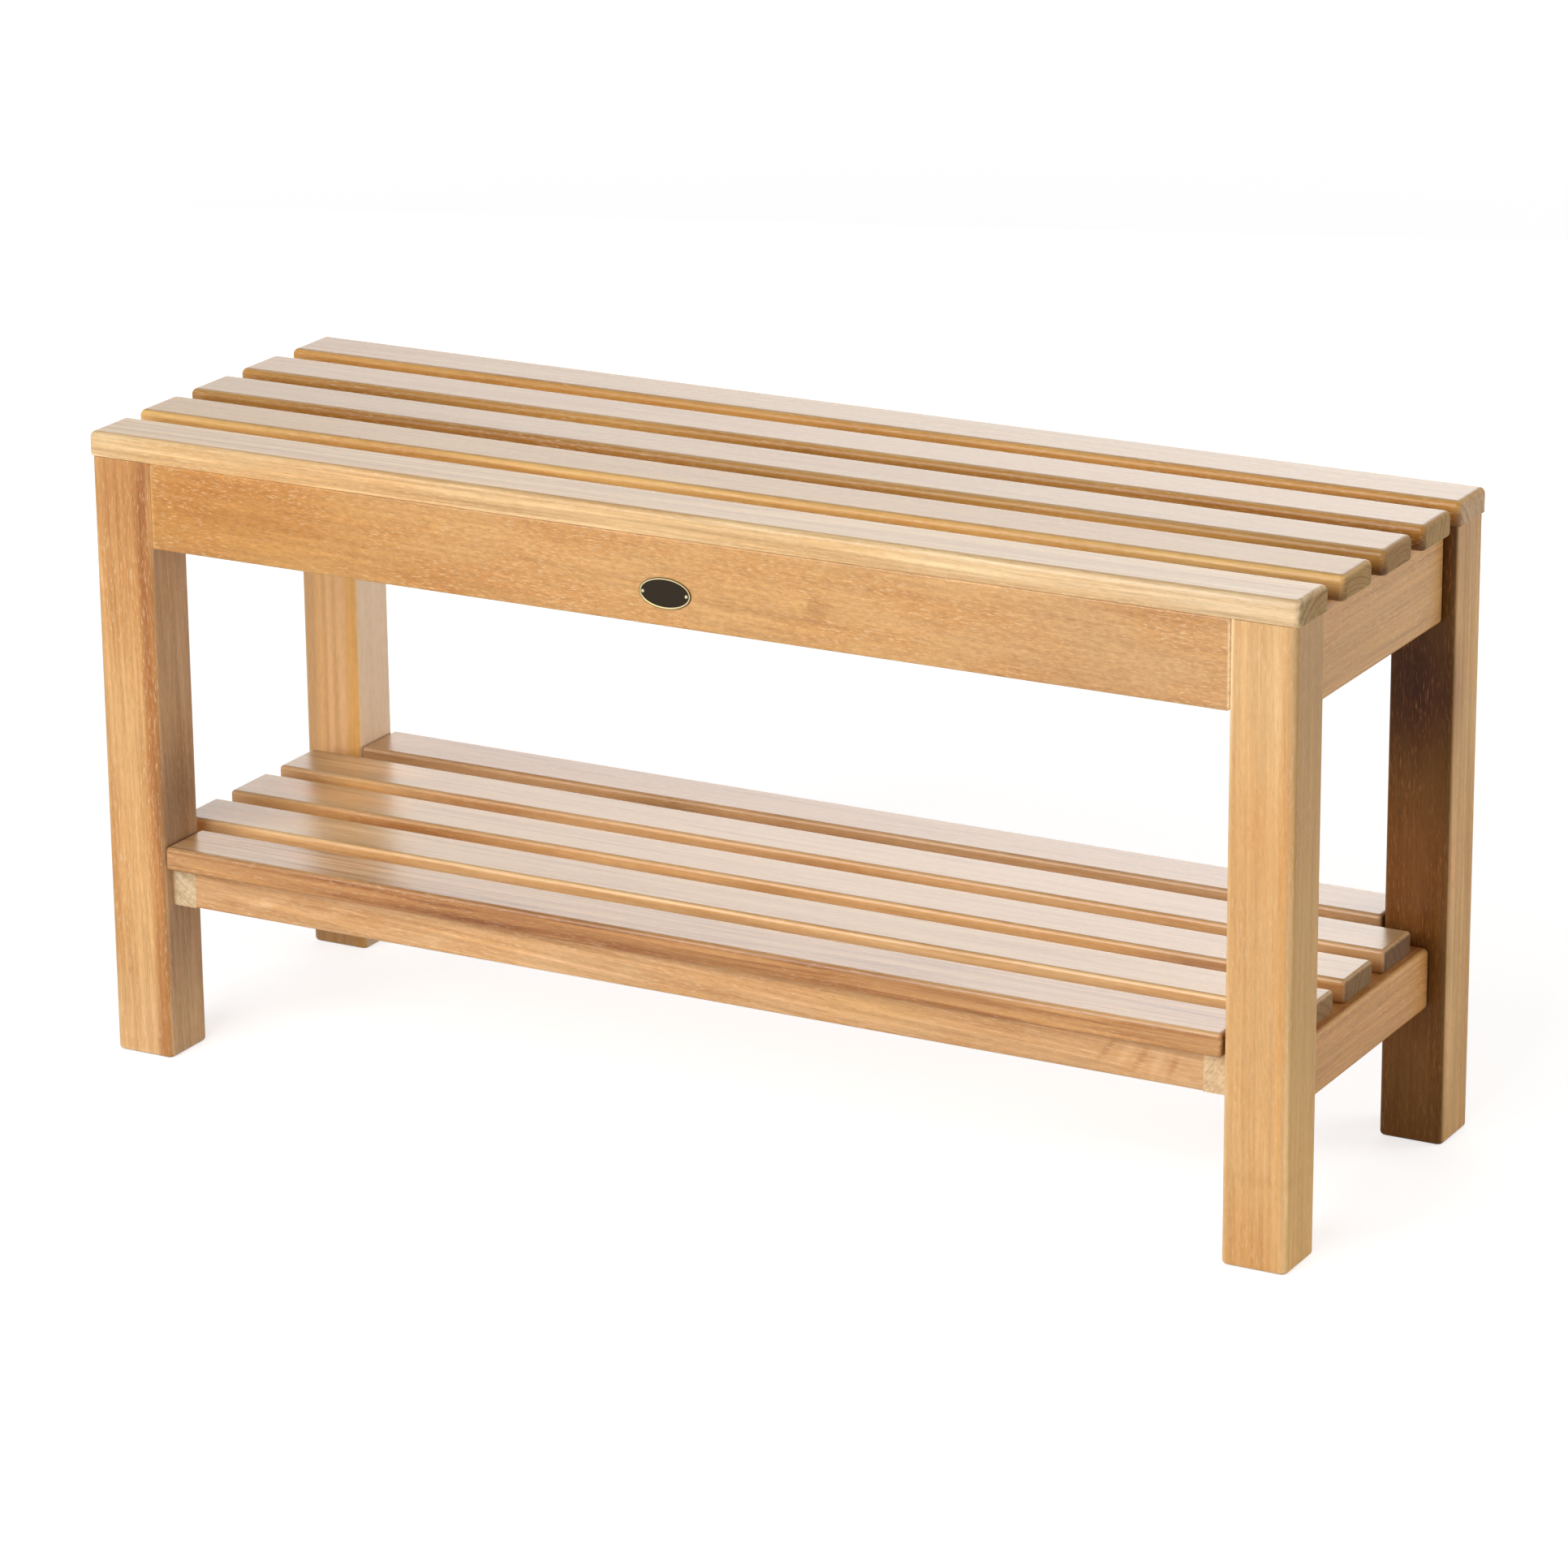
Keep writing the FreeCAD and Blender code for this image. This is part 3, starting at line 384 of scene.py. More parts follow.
def dressBoard(name, boardLook):
    look = {**teak, **boardLook}
    low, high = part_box(name)
    middle = (low + high) / 2
    material, tree = startMaterial(look["material"] + ", " + name)
    point = addNode(tree, "TexCoord", {})
    noises = addGrain(tree, point, middle, look)
    facing, edge, endGrain = addSides(tree, point, look["grain"])
    masks = addMarks(tree, noises, endGrain, look)
    shade = addShade(tree, noises, look)

    layers = []             # from the wood up: mask, tone (none keeps the one below), share of the tone
    parts = addNode(tree, "SeparateXYZ", {0: point.outputs["Object"]})
    for band in look["bands"]:
        axis = "XYZ".index(band["axis"])
        line = addNode(tree, "Math", {0: noises["wander"], 1: band["stray"] * mm, 2: parts.outputs[axis]},
                       operation="MULTIPLY_ADD")
        centre = middle[axis] + band["stray"] * mm / 2
        beyond = addNode(tree, "MapRange", {"Value": line.outputs[0],
                                            "From Min": centre + band["from"] * mm,
                                            "From Max": centre + band["to"] * mm},
                         interpolation_type="SMOOTHSTEP")
        layers.append((beyond.outputs[0], toLinear(band["tone"])[:3], shade))
    for side, sideTone in look["faceTones"].items():
        sign = 1 if side[0] == "+" else -1
        faced = addNode(tree, "MapRange", {"Value": facing.outputs[side[1]], **limits("faceTone", sign)})
        layers.append((faced.outputs[0], toLinear(sideTone)[:3], shade))
    for mark, wood in markWoods.items():
        layers.append((masks[mark], None, look[wood]))
    for spot in look["spots"]:
        spread = addNode(tree, "Mapping", {"Vector": point.outputs["Object"],
                                           "Location": [part * mm for part in spot["place"]],
                                           "Rotation": (0, math.radians(spot.get("turn", 0)), 0),
                                           "Scale": [part * mm for part in spot["reach"]]},
                         vector_type="TEXTURE")
        away = addNode(tree, "VectorMath", {0: spread.outputs[0]}, operation="LENGTH")
        near = addNode(tree, "MapRange", {"Value": away.outputs["Value"], **limits("spot")},
                       interpolation_type="SMOOTHSTEP")
        layers.append((near.outputs[0], None, spot["share"]))
    layers.append((masks["fleck"], toLinear(look["fleckTone"])[:3], (1, 1, 1)))
    layers.append((endGrain, None, look["endGrainAndLight"]))
    layers.append((edge, None, look["sandedEdgeAndLight"]))

    plainWood = addNode(tree, "VectorMath", {0: toLinear(look["tone"])[:3], 1: shade}, operation="MULTIPLY")
    colour = plainWood.outputs[0]
    for mask, tone, share in layers:
        layer = addNode(tree, "VectorMath", {0: tone or colour, 1: share}, operation="MULTIPLY")
        mixed = addNode(tree, "Mix", {0: mask, 6: colour, 7: layer.outputs[0]}, data_type="RGBA")
        colour = mixed.outputs[2]

    smooth, rough = look["roughness"]
    sideGloss = addNode(tree, "MapRange", {"Value": noises["streak"], **limits("gloss"), "To Min": smooth,
                                           "To Max": rough})
    gloss = addNode(tree, "MapRange", {"Value": endGrain, "To Min": sideGloss.outputs[0],
                                       "To Max": look["endRoughness"]})
    height = addNode(tree, "Math", {0: noises["mottle"], 1: noises["fleck"]}, operation="ADD")
    strength, depth = look["relief"]
    bump = addNode(tree, "Bump", {"Height": height.outputs[0], "Strength": strength,
                                  "Distance": depth * mm})
    shader = addNode(tree, "BsdfPrincipled", {"Base Color": colour, "Roughness": gloss.outputs[0],
                                              "Normal": bump.outputs[0], "IOR": look["refraction"],
                                              "Specular IOR Level": look["specular"]})
    addNode(tree, "OutputMaterial", {"Surface": shader.outputs[0]})
    wearMaterial(name, material)


# legs: grain upright, edges well sanded, with painted light and shade by the seat, apron and shelf; the
# right rear one is of dark wood on its front
legLooks = {
    "leg_front_left": {
        "tone": "#DAAB72", "faceTones": {"+X": "#D3AF87"}, "pith": (70, 45), "ring": 5.0,
        "lean": (1.6, -1.4), "rings": 0.2, "patches": 0.6, "streaks": 0.2,
        "bands": [{"axis": "X", "from": 9, "to": 17, "stray": 5, "tone": "#B98048"}],
        "spots": [
            {"place": (-425, -152, 370), "reach": (45, 60, 130), "share": (0.84, 0.75, 0.63)},
            {"place": (-440, -152, 110), "reach": (35, 60, 190), "share": (1.05, 1.08, 1.12)},
            # painted shadow of the seat slat across the top of the leg's front
            {"place": (-440, -152, 425), "reach": (40, 60, 75), "share": (0.84, 0.72, 0.60)},
            {"place": (-430, -152, 10), "reach": (60, 60, 75), "share": (1.10, 1.18, 1.38)},
            {"place": (-434, -130, 0), "reach": (60, 60, 6), "share": (1.15, 1.30, 1.50)},
            {"place": (-410, -128, 20), "reach": (12, 60, 70), "share": (1.14, 1.16, 1.03)},
            {"place": (-410, -128, 190), "reach": (8, 60, 75), "share": (0.58, 0.56, 0.60)},
            {"place": (-410, -128, 345), "reach": (8, 60, 100), "share": (1.18, 1.22, 1.18)},
            # painted light: lifts the shade in the groove where the front apron meets the leg
            {"place": (-411, -151, 408), "reach": (4, 6, 60), "share": (1.5, 1.75, 2.1)},
        ],
    },
    "leg_front_right": {
        "tone": "#DDAF76", "faceTones": {"+X": "#D6A963"}, "pith": (-60, 60), "ring": 4.2,
        "lean": (0.5, -0.8), "rings": 0.12, "lines": 0.12, "hearts": 0.15, "streaks": 0.13,
        # its edges: sanded, and paler still as painted light over the shade in the groove where the front
        # apron meets the leg
        "flecks": 0.25, "pores": 0.25, "sandedEdgeAndLight": (1.20, 1.35, 1.55),
        "spots": [
            {"place": (434, -152, 430), "reach": (45, 60, 90), "share": (1.03, 1.09, 1.18)},
            {"place": (434, -152, 10), "reach": (45, 60, 70), "share": (0.97, 0.92, 0.84)},
            {"place": (434, -152, 63), "reach": (90, 60, 7), "share": (0.95, 0.93, 0.90)},
            {"place": (443, -152, 330), "reach": (5, 60, 200), "share": (1.08, 1.14, 1.22)},
            {"place": (450, -152, 230), "reach": (4, 60, 300), "share": (1.02, 0.94, 0.78)},
            {"place": (440, -152, 80), "reach": (20, 60, 110), "share": (1.08, 1.09, 1.10)},
            {"place": (436, -152, 290), "reach": (40, 60, 60), "share": (0.97, 0.89, 0.80)},
            {"place": (457, -129, 0), "reach": (8, 150, 190), "share": (1.22, 1.28, 1.38)},
            {"place": (457, -129, 440), "reach": (8, 150, 230), "share": (0.78, 0.74, 0.71)},
            # painted light: lifts the shade in the groove where the front apron meets the leg
            {"place": (411, -150, 408), "reach": (5, 7, 110), "share": (1.25, 1.45, 1.8)},
        ],
    },
    "leg_rear_left": {
        # its inner face (+X) is paler wood, and paler still as painted light for the light that reaches it
        # through the open bay
        "tone": "#D8AA74", "faceTones": {"+X": "#FFE6C6"}, "pith": (55, 60), "ring": 5.0, "rings": 0.05,
        "lines": 0.0, "hearts": 0.05, "patches": 0.1, "streaks": 0.06, "pores": 0.1, "flecks": 0.15,
        "bands": [
            {"axis": "X", "from": -15, "to": -9, "stray": 4, "tone": "#EBBA7C"},
            {"axis": "X", "from": -7, "to": -4.5, "stray": 4, "tone": "#E2B074"},
            {"axis": "X", "from": -4, "to": -1, "stray": 4, "tone": "#F3C38A"},
            {"axis": "X", "from": 1, "to": 3.5, "stray": 4, "tone": "#E6B478"},
            {"axis": "X", "from": 4, "to": 7.5, "stray": 4, "tone": "#F1C188"},
            {"axis": "X", "from": 12, "to": 16, "stray": 4, "tone": "#F0B96C"},
        ],
        # painted shade on the lower leg, below the shelf
        "spots": [{"place": (-434, 120, 40), "reach": (80, 80, 130), "share": (0.42, 0.36, 0.28)}],
    },
    "leg_rear_right": {
        "tone": "#765023", "faceTones": {"+X": "#D3AB73", "+Y": "#C79A62"}, "pith": (-40, -70), "ring": 4.5,
        "rings": 0.2, "lines": 0.1, "streaks": 0.2, "flecks": 0.6, "fleck": (0.6, 8.0),
        "fleckTone": "#B07A48", "specular": 0.2,
        "spots": [
            {"place": (430, 106, 75), "reach": (70, 24, 75), "share": (1.55, 1.65, 2.00)},
            {"place": (430, 106, 195), "reach": (50, 30, 90), "share": (1.32, 1.25, 1.75)},
            {"place": (430, 106, 325), "reach": (60, 30, 75), "share": (0.42, 0.30, 0.42)},
            {"place": (457, 129, 440), "reach": (8, 150, 90), "share": (0.85, 0.83, 0.90)},
        ],
    },
}
for legName, legLook in legLooks.items():
    dressBoard(legName, {"grain": "Z", "sandedEdgeAndLight": (1.10, 1.20, 1.32), **legLook})

# aprons: the front one is short-grained and speckled, darker and warmer at its left end as painted light,
# with a small knot right of the plate
apronLooks = {
    "apron_front": {
        "grain": "X", "tone": "#D0A066", "pith": (40, -90), "ring": 6.0, "lean": (2.5, 2.0), "rings": 0.1,
        "lines": 0.1, "patches": 0.7, "patch": (24, 80), "hearts": 0.3, "streaks": 0.12, "flecks": 0.42,
        "fleck": (0.6, 5.5), "mottles": 0.11, "mottle": (2.4, 6.0),
        # its end grain is kept as pale as its face: painted light in the shaded grooves at the legs, where
        # the ends show
        "sandedEdgeAndLight": (1.12, 1.25, 1.42), "endGrainAndLight": (1.0, 1.0, 1.0),
        "spots": [
            # painted light: lifts the shade in the groove at the right end, by the front right leg
            {"place": (410.5, -149, 408), "reach": (2.5, 9, 120), "share": (1.5, 2.3, 4.0)},
            # painted highlight on the rounded left end, by the front left leg
            {"place": (-409, -151, 408), "reach": (2.5, 20, 70), "share": (1.2, 1.4, 1.7)},
            # painted light: darker and warmer towards the left end, paler towards the right, where the
            # light is stronger
            {"place": (-400, -151, 408), "reach": (330, 60, 90), "share": (0.90, 0.85, 0.64)},
            {"place": (420, -151, 408), "reach": (380, 60, 90), "share": (1.02, 1.09, 1.28)},
            {"place": (-340, -151, 412), "reach": (190, 40, 60), "share": (0.96, 0.84, 0.66)},
            {"place": (-180, -151, 385), "reach": (110, 40, 28), "share": (0.90, 0.82, 0.72)},
            {"place": (300, -151, 385), "reach": (160, 40, 40), "share": (0.92, 0.88, 0.85)},
            {"place": (360, -151, 440), "reach": (110, 40, 20), "share": (0.86, 0.80, 0.72)},
            {"place": (114, -151, 406), "reach": (16, 40, 14), "share": (0.80, 0.74, 0.66)},
            {"place": (100, -151, 407), "reach": (13, 40, 10), "share": (1.10, 1.14, 1.12)},
            {"place": (105.4, -151, 407.5), "reach": (3.0, 40, 2.0), "share": (1.25, 1.45, 1.6)},
        ],
    },
    "apron_rear": {"grain": "X", "pith": (-35, 70), "ring": 5.0},
    "apron_left": {"grain": "Y", "pith": (50, -60)},
    "apron_right": {"grain": "Y", "tone": "#D3A365", "pith": (-55, -50), "ring": 3.5},
}
for apronName, apronLook in apronLooks.items():
    dressBoard(apronName, apronLook)

# seat slats: pale tops, browner fronts with painted light paler towards the right end, and painted shade
# along their lower edges at the right end
seatLooks = {
    "seat_slat_1": {
        "tone": "#E4C392", "faceTones": {"+Z": "#E5C28F"}, "pith": (22, -42), "ring": 3.4, "rings": 0.45,
        "lines": 0.5, "streaks": 0.24, "endGrainAndLight": (0.55, 0.52, 0.40), "endRings": 1.0,
        "spots": [
            # painted light: darker and warmer left of the middle, paler towards the right end, where the
            # light is stronger
            {"place": (400, -152, 448), "reach": (280, 25, 40), "share": (1.07, 1.16, 1.38)},
            {"place": (-270, -152, 448), "reach": (170, 25, 40), "share": (0.94, 0.85, 0.76)},
            {"place": (-450, -152, 448), "reach": (60, 60, 40), "share": (1.02, 1.07, 1.14)},
        ],
    },
    "seat_slat_2": {
        "tone": "#E8B870", "faceTones": {"+Z": "#CFA466"}, "pith": (-8, -60), "ring": 3.6,
        "lean": (1.3, 0.2), "endGrainAndLight": (0.50, 0.52, 0.53), "endRings": 1.0,
        "spots": [
            # painted light: darker and warmer towards the left, paler towards the right end, where the
            # light is stronger
            {"place": (-260, -90, 449), "reach": (190, 9, 13), "share": (0.80, 0.70, 0.58)},
            {"place": (380, -90, 449), "reach": (140, 9, 13), "share": (1.12, 1.25, 1.50)},
            # painted shade along the front's lower edge at the right end, in the gap between slats
            {"place": (440, -88, 440), "reach": (300, 6, 17), "share": (0.26, 0.20, 0.17)},
        ],
    },
    "seat_slat_3": {
        "tone": "#B68544", "faceTones": {"+Z": "#CFAA7B"}, "pith": (6, -48), "ring": 3.8,
        "lean": (-1.0, 0.4), "endGrainAndLight": (0.70, 0.80, 1.0), "endRings": 1.0,
        "spots": [
            # painted light: darker and warmer towards the left, paler towards the right end, where the
            # light is stronger
            {"place": (-220, -25, 449), "reach": (260, 9, 13), "share": (0.80, 0.70, 0.60)},
            {"place": (300, -25, 449), "reach": (260, 9, 13), "share": (1.50, 1.70, 2.00)},
            # painted shade along the front's lower edge at the right end, in the gap between slats
            {"place": (440, -23, 440), "reach": (300, 6, 17), "share": (0.26, 0.20, 0.17)},
        ],
    },
    "seat_slat_4": {
        "tone": "#C18C46", "faceTones": {"+Z": "#D3AD80"}, "pith": (55, -14), "ring": 3.0,
        "endGrainAndLight": (0.75, 0.98, 1.5), "endRings": 1.0,
        "spots": [
            {"place": (-350, 40, 449), "reach": (130, 9, 13), "share": (0.72, 0.72, 0.75)},
            {"place": (-150, 40, 449), "reach": (120, 9, 13), "share": (1.25, 1.40, 1.60)},
            {"place": (350, 40, 449), "reach": (160, 9, 13), "share": (0.95, 0.85, 0.70)},
            # painted shade along the front's lower edge at the right end, in the gap between slats
            {"place": (440, 42, 440), "reach": (300, 6, 17), "share": (0.26, 0.20, 0.17)},
        ],
    },
    "seat_slat_5": {
        "tone": "#DBA459", "faceTones": {"+Z": "#D1AB7C"}, "pith": (-50, -36), "ring": 3.6,
        "endGrainAndLight": (0.77, 1.03, 2.2),
        # painted shade along the front's lower edge at the right end, in the gap between slats
        "spots": [{"place": (440, 106, 440), "reach": (300, 6, 17), "share": (0.34, 0.28, 0.24)}],
    },
}
for slatName, slatLook in seatLooks.items():
    dressBoard(slatName, {"grain": "X", "streaks": 0.13, "lines": 0.12, "rings": 0.22, **slatLook})

# shelf slats: smoother and glossier, golden at the left end where the sheen stops, with painted light on
# the tops near there and painted shade low on the fronts at the right end
shelfLooks = {
    "shelf_slat_1": {
        "tone": "#C4905A", "faceTones": {"+Z": "#CAA87E"}, "pith": (28, -40), "ring": 3.6, "rings": 0.5,
        "lines": 0.2, "streaks": 0.26, "hearts": 1.0, "heart": (4, 140), "heartWood": (0.66, 0.52, 0.40),
        "spots": [
            {"place": (-110, -152, 151), "reach": (240, 25, 30), "share": (0.84, 0.77, 0.73)},
            {"place": (-400, -152, 151), "reach": (110, 25, 30), "share": (1.08, 1.20, 1.35)},
            {"place": (400, -152, 151), "reach": (300, 25, 30), "share": (1.15, 1.25, 1.35)},
            # painted light: paler where the rear left leg's reflection dims the sheen, warmer at the left
            # end where the sheen stops
            {"place": (-270, -125, 160), "reach": (80, 30, 20), "share": (1.50, 1.60, 1.80)},
            {"place": (-375, -125, 160), "reach": (65, 30, 20), "share": (1.00, 0.88, 0.60)},
        ],
    },
    "shelf_slat_2": {
        "tone": "#F2CA94", "faceTones": {"+Z": "#CDAC7C"}, "pith": (-20, -45), "ring": 3.8,
        # its end grain is darker still: painted shade that damps the sheen on the ends
        "lean": (0.9, 0.4), "endGrainAndLight": (0.33, 0.28, 0.19),
        "spots": [
            # painted light: paler where the rear left leg's reflection dims the sheen, warmer at the left
            # end where the sheen stops
            {"place": (-310, -60, 160), "reach": (75, 30, 20), "share": (1.40, 1.48, 1.70)},
            {"place": (-390, -60, 160), "reach": (65, 30, 20), "share": (0.85, 0.66, 0.40)},
            # painted shade along the front's lower edge at the right end, in the gap between slats
            {"place": (440, -88, 143), "reach": (200, 6, 13), "share": (0.60, 0.52, 0.42)},
        ],
    },
    "shelf_slat_3": {
        "tone": "#E1B57F", "faceTones": {"+Z": "#CEAE80"}, "pith": (45, -22), "ring": 3.2,
        # its end grain is darker still: painted shade that damps the sheen on the ends
        "endGrainAndLight": (0.3, 0.27, 0.17),
        "spots": [
            # painted light: paler where the rear left leg's reflection dims the sheen, warmer at the left
            # end where the sheen stops
            {"place": (-352, 4, 160), "reach": (75, 30, 20), "share": (1.55, 1.42, 1.35)},
            {"place": (-405, 4, 160), "reach": (40, 30, 20), "share": (0.95, 0.75, 0.50)},
            {"place": (-280, -23, 153), "reach": (150, 9, 12), "share": (0.68, 0.55, 0.45)},
            {"place": (330, -23, 153), "reach": (70, 9, 12), "share": (0.70, 0.65, 0.75)},
            # painted shade along the front's lower edge at the right end, in the gap between slats
            {"place": (440, -23, 143), "reach": (200, 6, 13), "share": (0.60, 0.52, 0.42)},
        ],
    },
    "shelf_slat_4": {
        "tone": "#DEB380", "faceTones": {"+Z": "#CDAC7E"}, "pith": (-38, -30), "ring": 3.6,
        # its end grain is darker still: painted shade that damps the sheen on the ends
        "endGrainAndLight": (0.21, 0.16, 0.1),
        "spots": [
            # painted light: paler where the rear left leg's reflection dims the sheen
            {"place": (-376, 68, 160), "reach": (65, 30, 20), "share": (1.65, 1.60, 1.65)},
            {"place": (-370, 42, 153), "reach": (50, 9, 12), "share": (1.35, 1.35, 1.20)},
            {"place": (-260, 42, 153), "reach": (100, 9, 12), "share": (0.78, 0.70, 0.65)},
            # painted shade along the front's lower edge at the right end, in the gap between slats
            {"place": (440, 42, 143), "reach": (200, 6, 13), "share": (0.60, 0.52, 0.42)},
        ],
    },
    "shelf_slat_5": {
        "tone": "#D3AA7D", "faceTones": {"+Z": "#C39A6A"}, "pith": (10, -60), "ring": 4.0,
        "lean": (0.8, 0.2),
        "spots": [
            {"place": (-380, 106, 153), "reach": (50, 9, 12), "share": (0.82, 0.78, 0.75)},
            {"place": (-150, 106, 153), "reach": (60, 9, 12), "share": (0.75, 0.74, 0.70)},
        ],
    },
}
for slatName, slatLook in shelfLooks.items():
    dressBoard(slatName, {"grain": "X", "roughness": (0.27, 0.31), "specular": 0.7, "streaks": 0.1,
                          "lines": 0.08, "rings": 0.22, "hearts": 0.8, "heart": (7, 150), "pores": 0.25,
                          "flecks": 0.25, **slatLook})

# shelf rails: the front one has slanting pale figure at the left and a few cross stripes at the right
railLooks = {
    "shelf_rail_front": {
        "tone": "#DBB080", "pith": (-14, -48), "ring": 5.0, "lean": (2.4, 1.0), "rings": 0.4,
        "patches": 0.7,
        "spots": [
            {"place": (-335, -141, 126), "reach": (38, 40, 8), "turn": -24, "share": (1.10, 1.18, 1.3)},
            {"place": (-270, -141, 132), "reach": (46, 40, 7), "turn": -20, "share": (1.08, 1.16, 1.28)},
            {"place": (-190, -141, 124), "reach": (60, 40, 9), "turn": -16, "share": (1.06, 1.12, 1.2)},
            {"place": (-120, -141, 128), "reach": (160, 40, 24), "share": (1.04, 1.08, 1.12)},
            {"place": (150, -141, 132), "reach": (90, 40, 20), "share": (1.03, 1.02, 0.90)},
            {"place": (322, -141, 131), "reach": (4, 40, 17), "turn": 38, "share": (0.80, 0.72, 0.64)},
            {"place": (336, -141, 130), "reach": (5, 40, 18), "turn": 34, "share": (1.14, 1.24, 1.4)},
            {"place": (347, -141, 129), "reach": (4, 40, 17), "turn": 30, "share": (0.82, 0.74, 0.66)},
            {"place": (359, -141, 128), "reach": (5, 40, 18), "turn": 26, "share": (1.12, 1.22, 1.36)},
            {"place": (370, -141, 127), "reach": (4, 40, 17), "turn": 22, "share": (0.84, 0.76, 0.68)},
        ],
    },
    "shelf_rail_rear": {"pith": (20, 48), "ring": 4.6},
}
for railName, railLook in railLooks.items():
    dressBoard(railName, {"grain": "X", **railLook})

# cross pieces; the shelf cleats show pale end grain at the front
crossLooks = {
    "stretcher_left": {"pith": (-40, -45)},
    "stretcher_right": {"tone": "#D6A161", "pith": (48, -40), "ring": 3.2},
    "shelf_cleat_left": {"tone": "#D7C4A3", "pith": (50, 50), "endGrainAndLight": (1.0, 1.0, 1.0),
                         "endRings": 0.5},
    "shelf_cleat_right": {"tone": "#E7CFAA", "pith": (-60, 40), "endGrainAndLight": (1.0, 1.0, 1.0),
                          "endRings": 0.4},
    "seat_cleat_left": {"pith": (30, 60)},
    "seat_cleat_right": {"pith": (-40, 50)},
    "seat_brace": {"pith": (30, -50)},
    "shelf_brace": {"pith": (-30, -60)},
}
for crossName, crossLook in crossLooks.items():
    dressBoard(crossName, {"grain": "Y", **crossLook})

# Beech, turned: even pinkish wood with short brown ray flecks
beech = {
    "material": "beech, turned",
    "tone": "#D9B48A",
    "fleckTone": "#B98A5C",
    "fleck": (0.5, 2.5),
    "rings": 0.1,
    "hearts": 0.1,
    "pith": (5, 5),
}
dowelGrains = {"leg_dowels": "Z", "rail_dowels": "X"}
for dowelName, dowelGrain in dowelGrains.items():
    dressBoard(dowelName, {**beech, "grain": dowelGrain})
print("boards and dowels dressed")

# Oval plate: black enamel, fired and a little uneven, that mirrors softly, inside a pale brass rim
# with a thin dark line round its outer edge
plate = {
    "material": "vitreous enamel, fired, in polished brass",
    "enamel": "#2C2212",
    "rim": "#E8D8AA",
    "edge": "#5E4A26",
    "rimWidth": 1.3,        # mm
    "edgeWidth": 0.4,       # mm
    "ringStart": (0.985, 1.005),    # a ring begins about its inner oval, softly
    "enamelRoughness": 0.22,
    "rimRoughness": (0.24, 0.44),
    "specular": 0.2,
    "ripple": 3.0,          # mm, unevenness of the fired enamel
    "rippleDetail": 3.0,
    "relief": (0.1, 0.1),   # strength, and depth in mm
}
plateLow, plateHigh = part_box("badge_plate")
plateHalf = (plateHigh - plateLow) / 2
material, tree = startMaterial(plate["material"])
platePoint = addNode(tree, "TexCoord", {})
rings = {}
for ring in ("rim", "edge"):
    inset = plate[ring + "Width"] * mm
    oval = addNode(tree, "Mapping", {"Vector": platePoint.outputs["Object"],
                                     "Location": (plateLow + plateHigh) / 2,
                                     "Scale": (plateHalf.x - inset, 1, plateHalf.z - inset)},
                   vector_type="TEXTURE")
    flatOval = addNode(tree, "VectorMath", {0: oval.outputs[0], 1: (1, 0, 1)}, operation="MULTIPLY")
    outward = addNode(tree, "VectorMath", {0: flatOval.outputs[0]}, operation="LENGTH")
    onRing = addNode(tree, "MapRange", {"Value": outward.outputs["Value"],
                                        "From Min": plate["ringStart"][0],
                                        "From Max": plate["ringStart"][1]})
    rings[ring] = onRing.outputs[0]
ripple = addNode(tree, "TexNoise", {"Vector": platePoint.outputs["Object"],
                                    "Scale": 1 / (plate["ripple"] * mm),
                                    "Detail": plate["rippleDetail"]})
brass = addNode(tree, "Mix", {0: rings["edge"], 6: toLinear(plate["rim"]), 7: toLinear(plate["edge"])},
                data_type="RGBA")
plateColour = addNode(tree, "Mix", {0: rings["rim"], 6: toLinear(plate["enamel"]), 7: brass.outputs[2]},
                      data_type="RGBA")
rimGloss = addNode(tree, "MapRange", {"Value": ripple.outputs["Fac"], "To Min": plate["rimRoughness"][0],
                                      "To Max": plate["rimRoughness"][1]})
plateGloss = addNode(tree, "MapRange", {"Value": rings["rim"], "To Min": plate["enamelRoughness"],
                                        "To Max": rimGloss.outputs[0]})
plateBump = addNode(tree, "Bump", {"Height": ripple.outputs["Fac"], "Strength": plate["relief"][0],
                                   "Distance": plate["relief"][1] * mm})
plateShader = addNode(tree, "BsdfPrincipled", {
    "Base Color": plateColour.outputs[2], "Metallic": rings["rim"], "Roughness": plateGloss.outputs[0],
    "Normal": plateBump.outputs[0], "Specular IOR Level": plate["specular"]})
addNode(tree, "OutputMaterial", {"Surface": plateShader.outputs[0]})
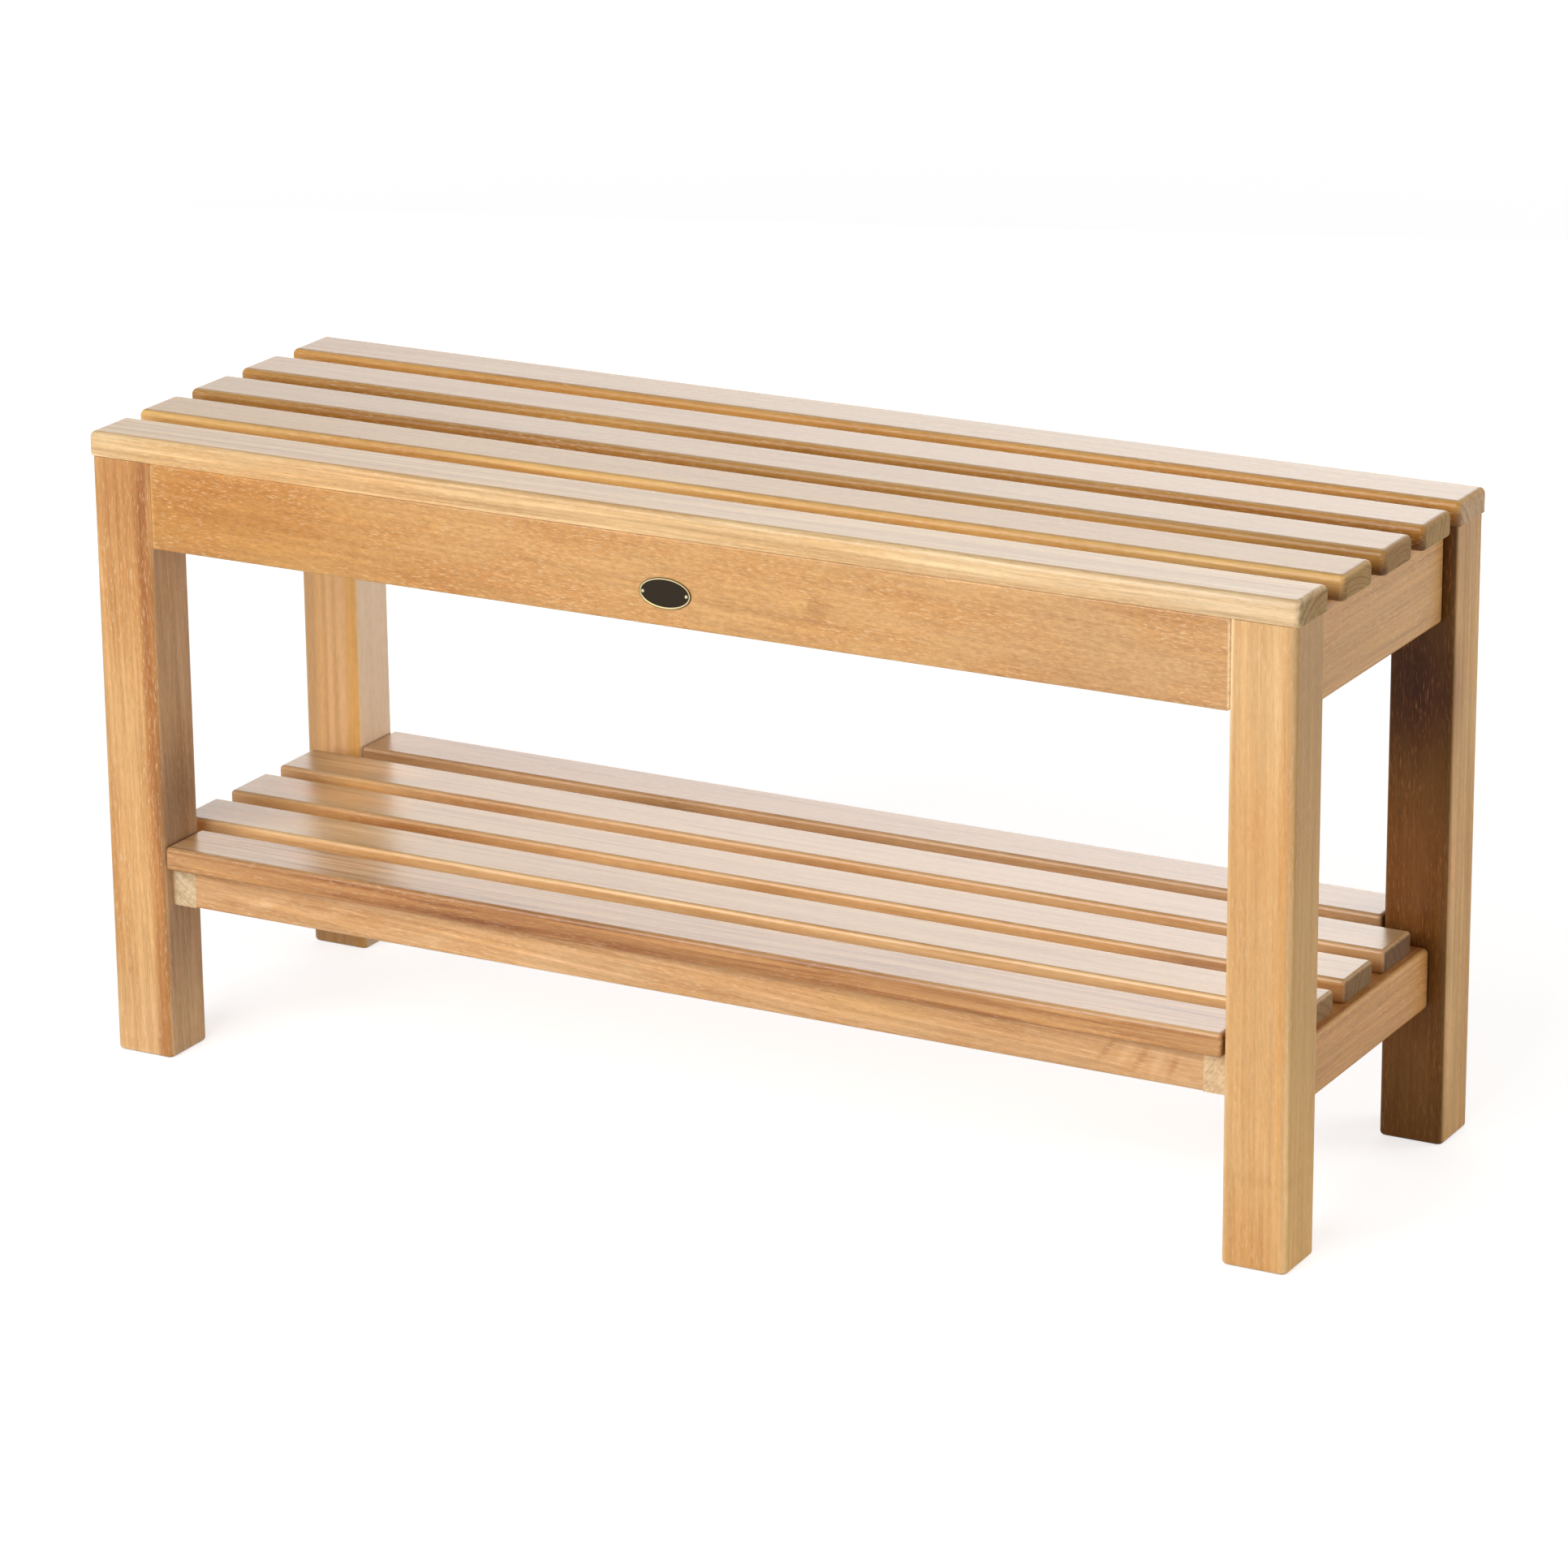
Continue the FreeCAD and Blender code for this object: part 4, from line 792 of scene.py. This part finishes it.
wearMaterial("badge_plate", material)

# Metal: turned brass pins and cold headed steel screws, both with soft broken highlights
steel = {
    "material": "stainless steel, cold headed, satin",
    "tone": "#C9C7C2",
    "roughness": (0.28, 0.46),
    "grit": 0.5,            # mm
    "gritDetail": 3.0,
    "gritSpan": (0.3, 0.7),     # levels of the grit's noise that are smoothest and roughest
    "shades": (0.85, 1.1),  # share of the tone in the darkest and the palest grit
    "relief": (0.08, 0.05),     # strength, and depth in mm
}
metals = {
    "badge_pins": {"material": "brass, turned and polished", "tone": "#F0DFB6", "roughness": (0.2, 0.36),
                   "grit": 0.4},
    "seat_screws": {},
    "shelf_screws": {},
    "seat_cleat_screws": {},
    "shelf_cleat_screws": {},
}
for metalName, ownLook in metals.items():
    metal = {**steel, **ownLook}
    material, tree = startMaterial(metal["material"] + ", " + metalName)
    metalPoint = addNode(tree, "TexCoord", {})
    grit = addNode(tree, "TexNoise", {"Vector": metalPoint.outputs["Object"],
                                      "Scale": 1 / (metal["grit"] * mm), "Detail": metal["gritDetail"]})
    metalGloss = addNode(tree, "MapRange", {
        "Value": grit.outputs["Fac"],
        "From Min": metal["gritSpan"][0], "From Max": metal["gritSpan"][1],
        "To Min": metal["roughness"][0], "To Max": metal["roughness"][1]})
    metalShade = addNode(tree, "MapRange", {"Value": grit.outputs["Fac"], "To Min": metal["shades"][0],
                                            "To Max": metal["shades"][1]})
    metalColour = addNode(tree, "VectorMath", {0: toLinear(metal["tone"])[:3],
                                               "Scale": metalShade.outputs[0]}, operation="SCALE")
    metalBump = addNode(tree, "Bump", {"Height": grit.outputs["Fac"], "Strength": metal["relief"][0],
                                       "Distance": metal["relief"][1] * mm})
    metalShader = addNode(tree, "BsdfPrincipled", {
        "Base Color": metalColour.outputs[0], "Metallic": 1.0, "Roughness": metalGloss.outputs[0],
        "Normal": metalBump.outputs[0]})
    addNode(tree, "OutputMaterial", {"Surface": metalShader.outputs[0]})
    wearMaterial(metalName, material)
print("plate and metal dressed")
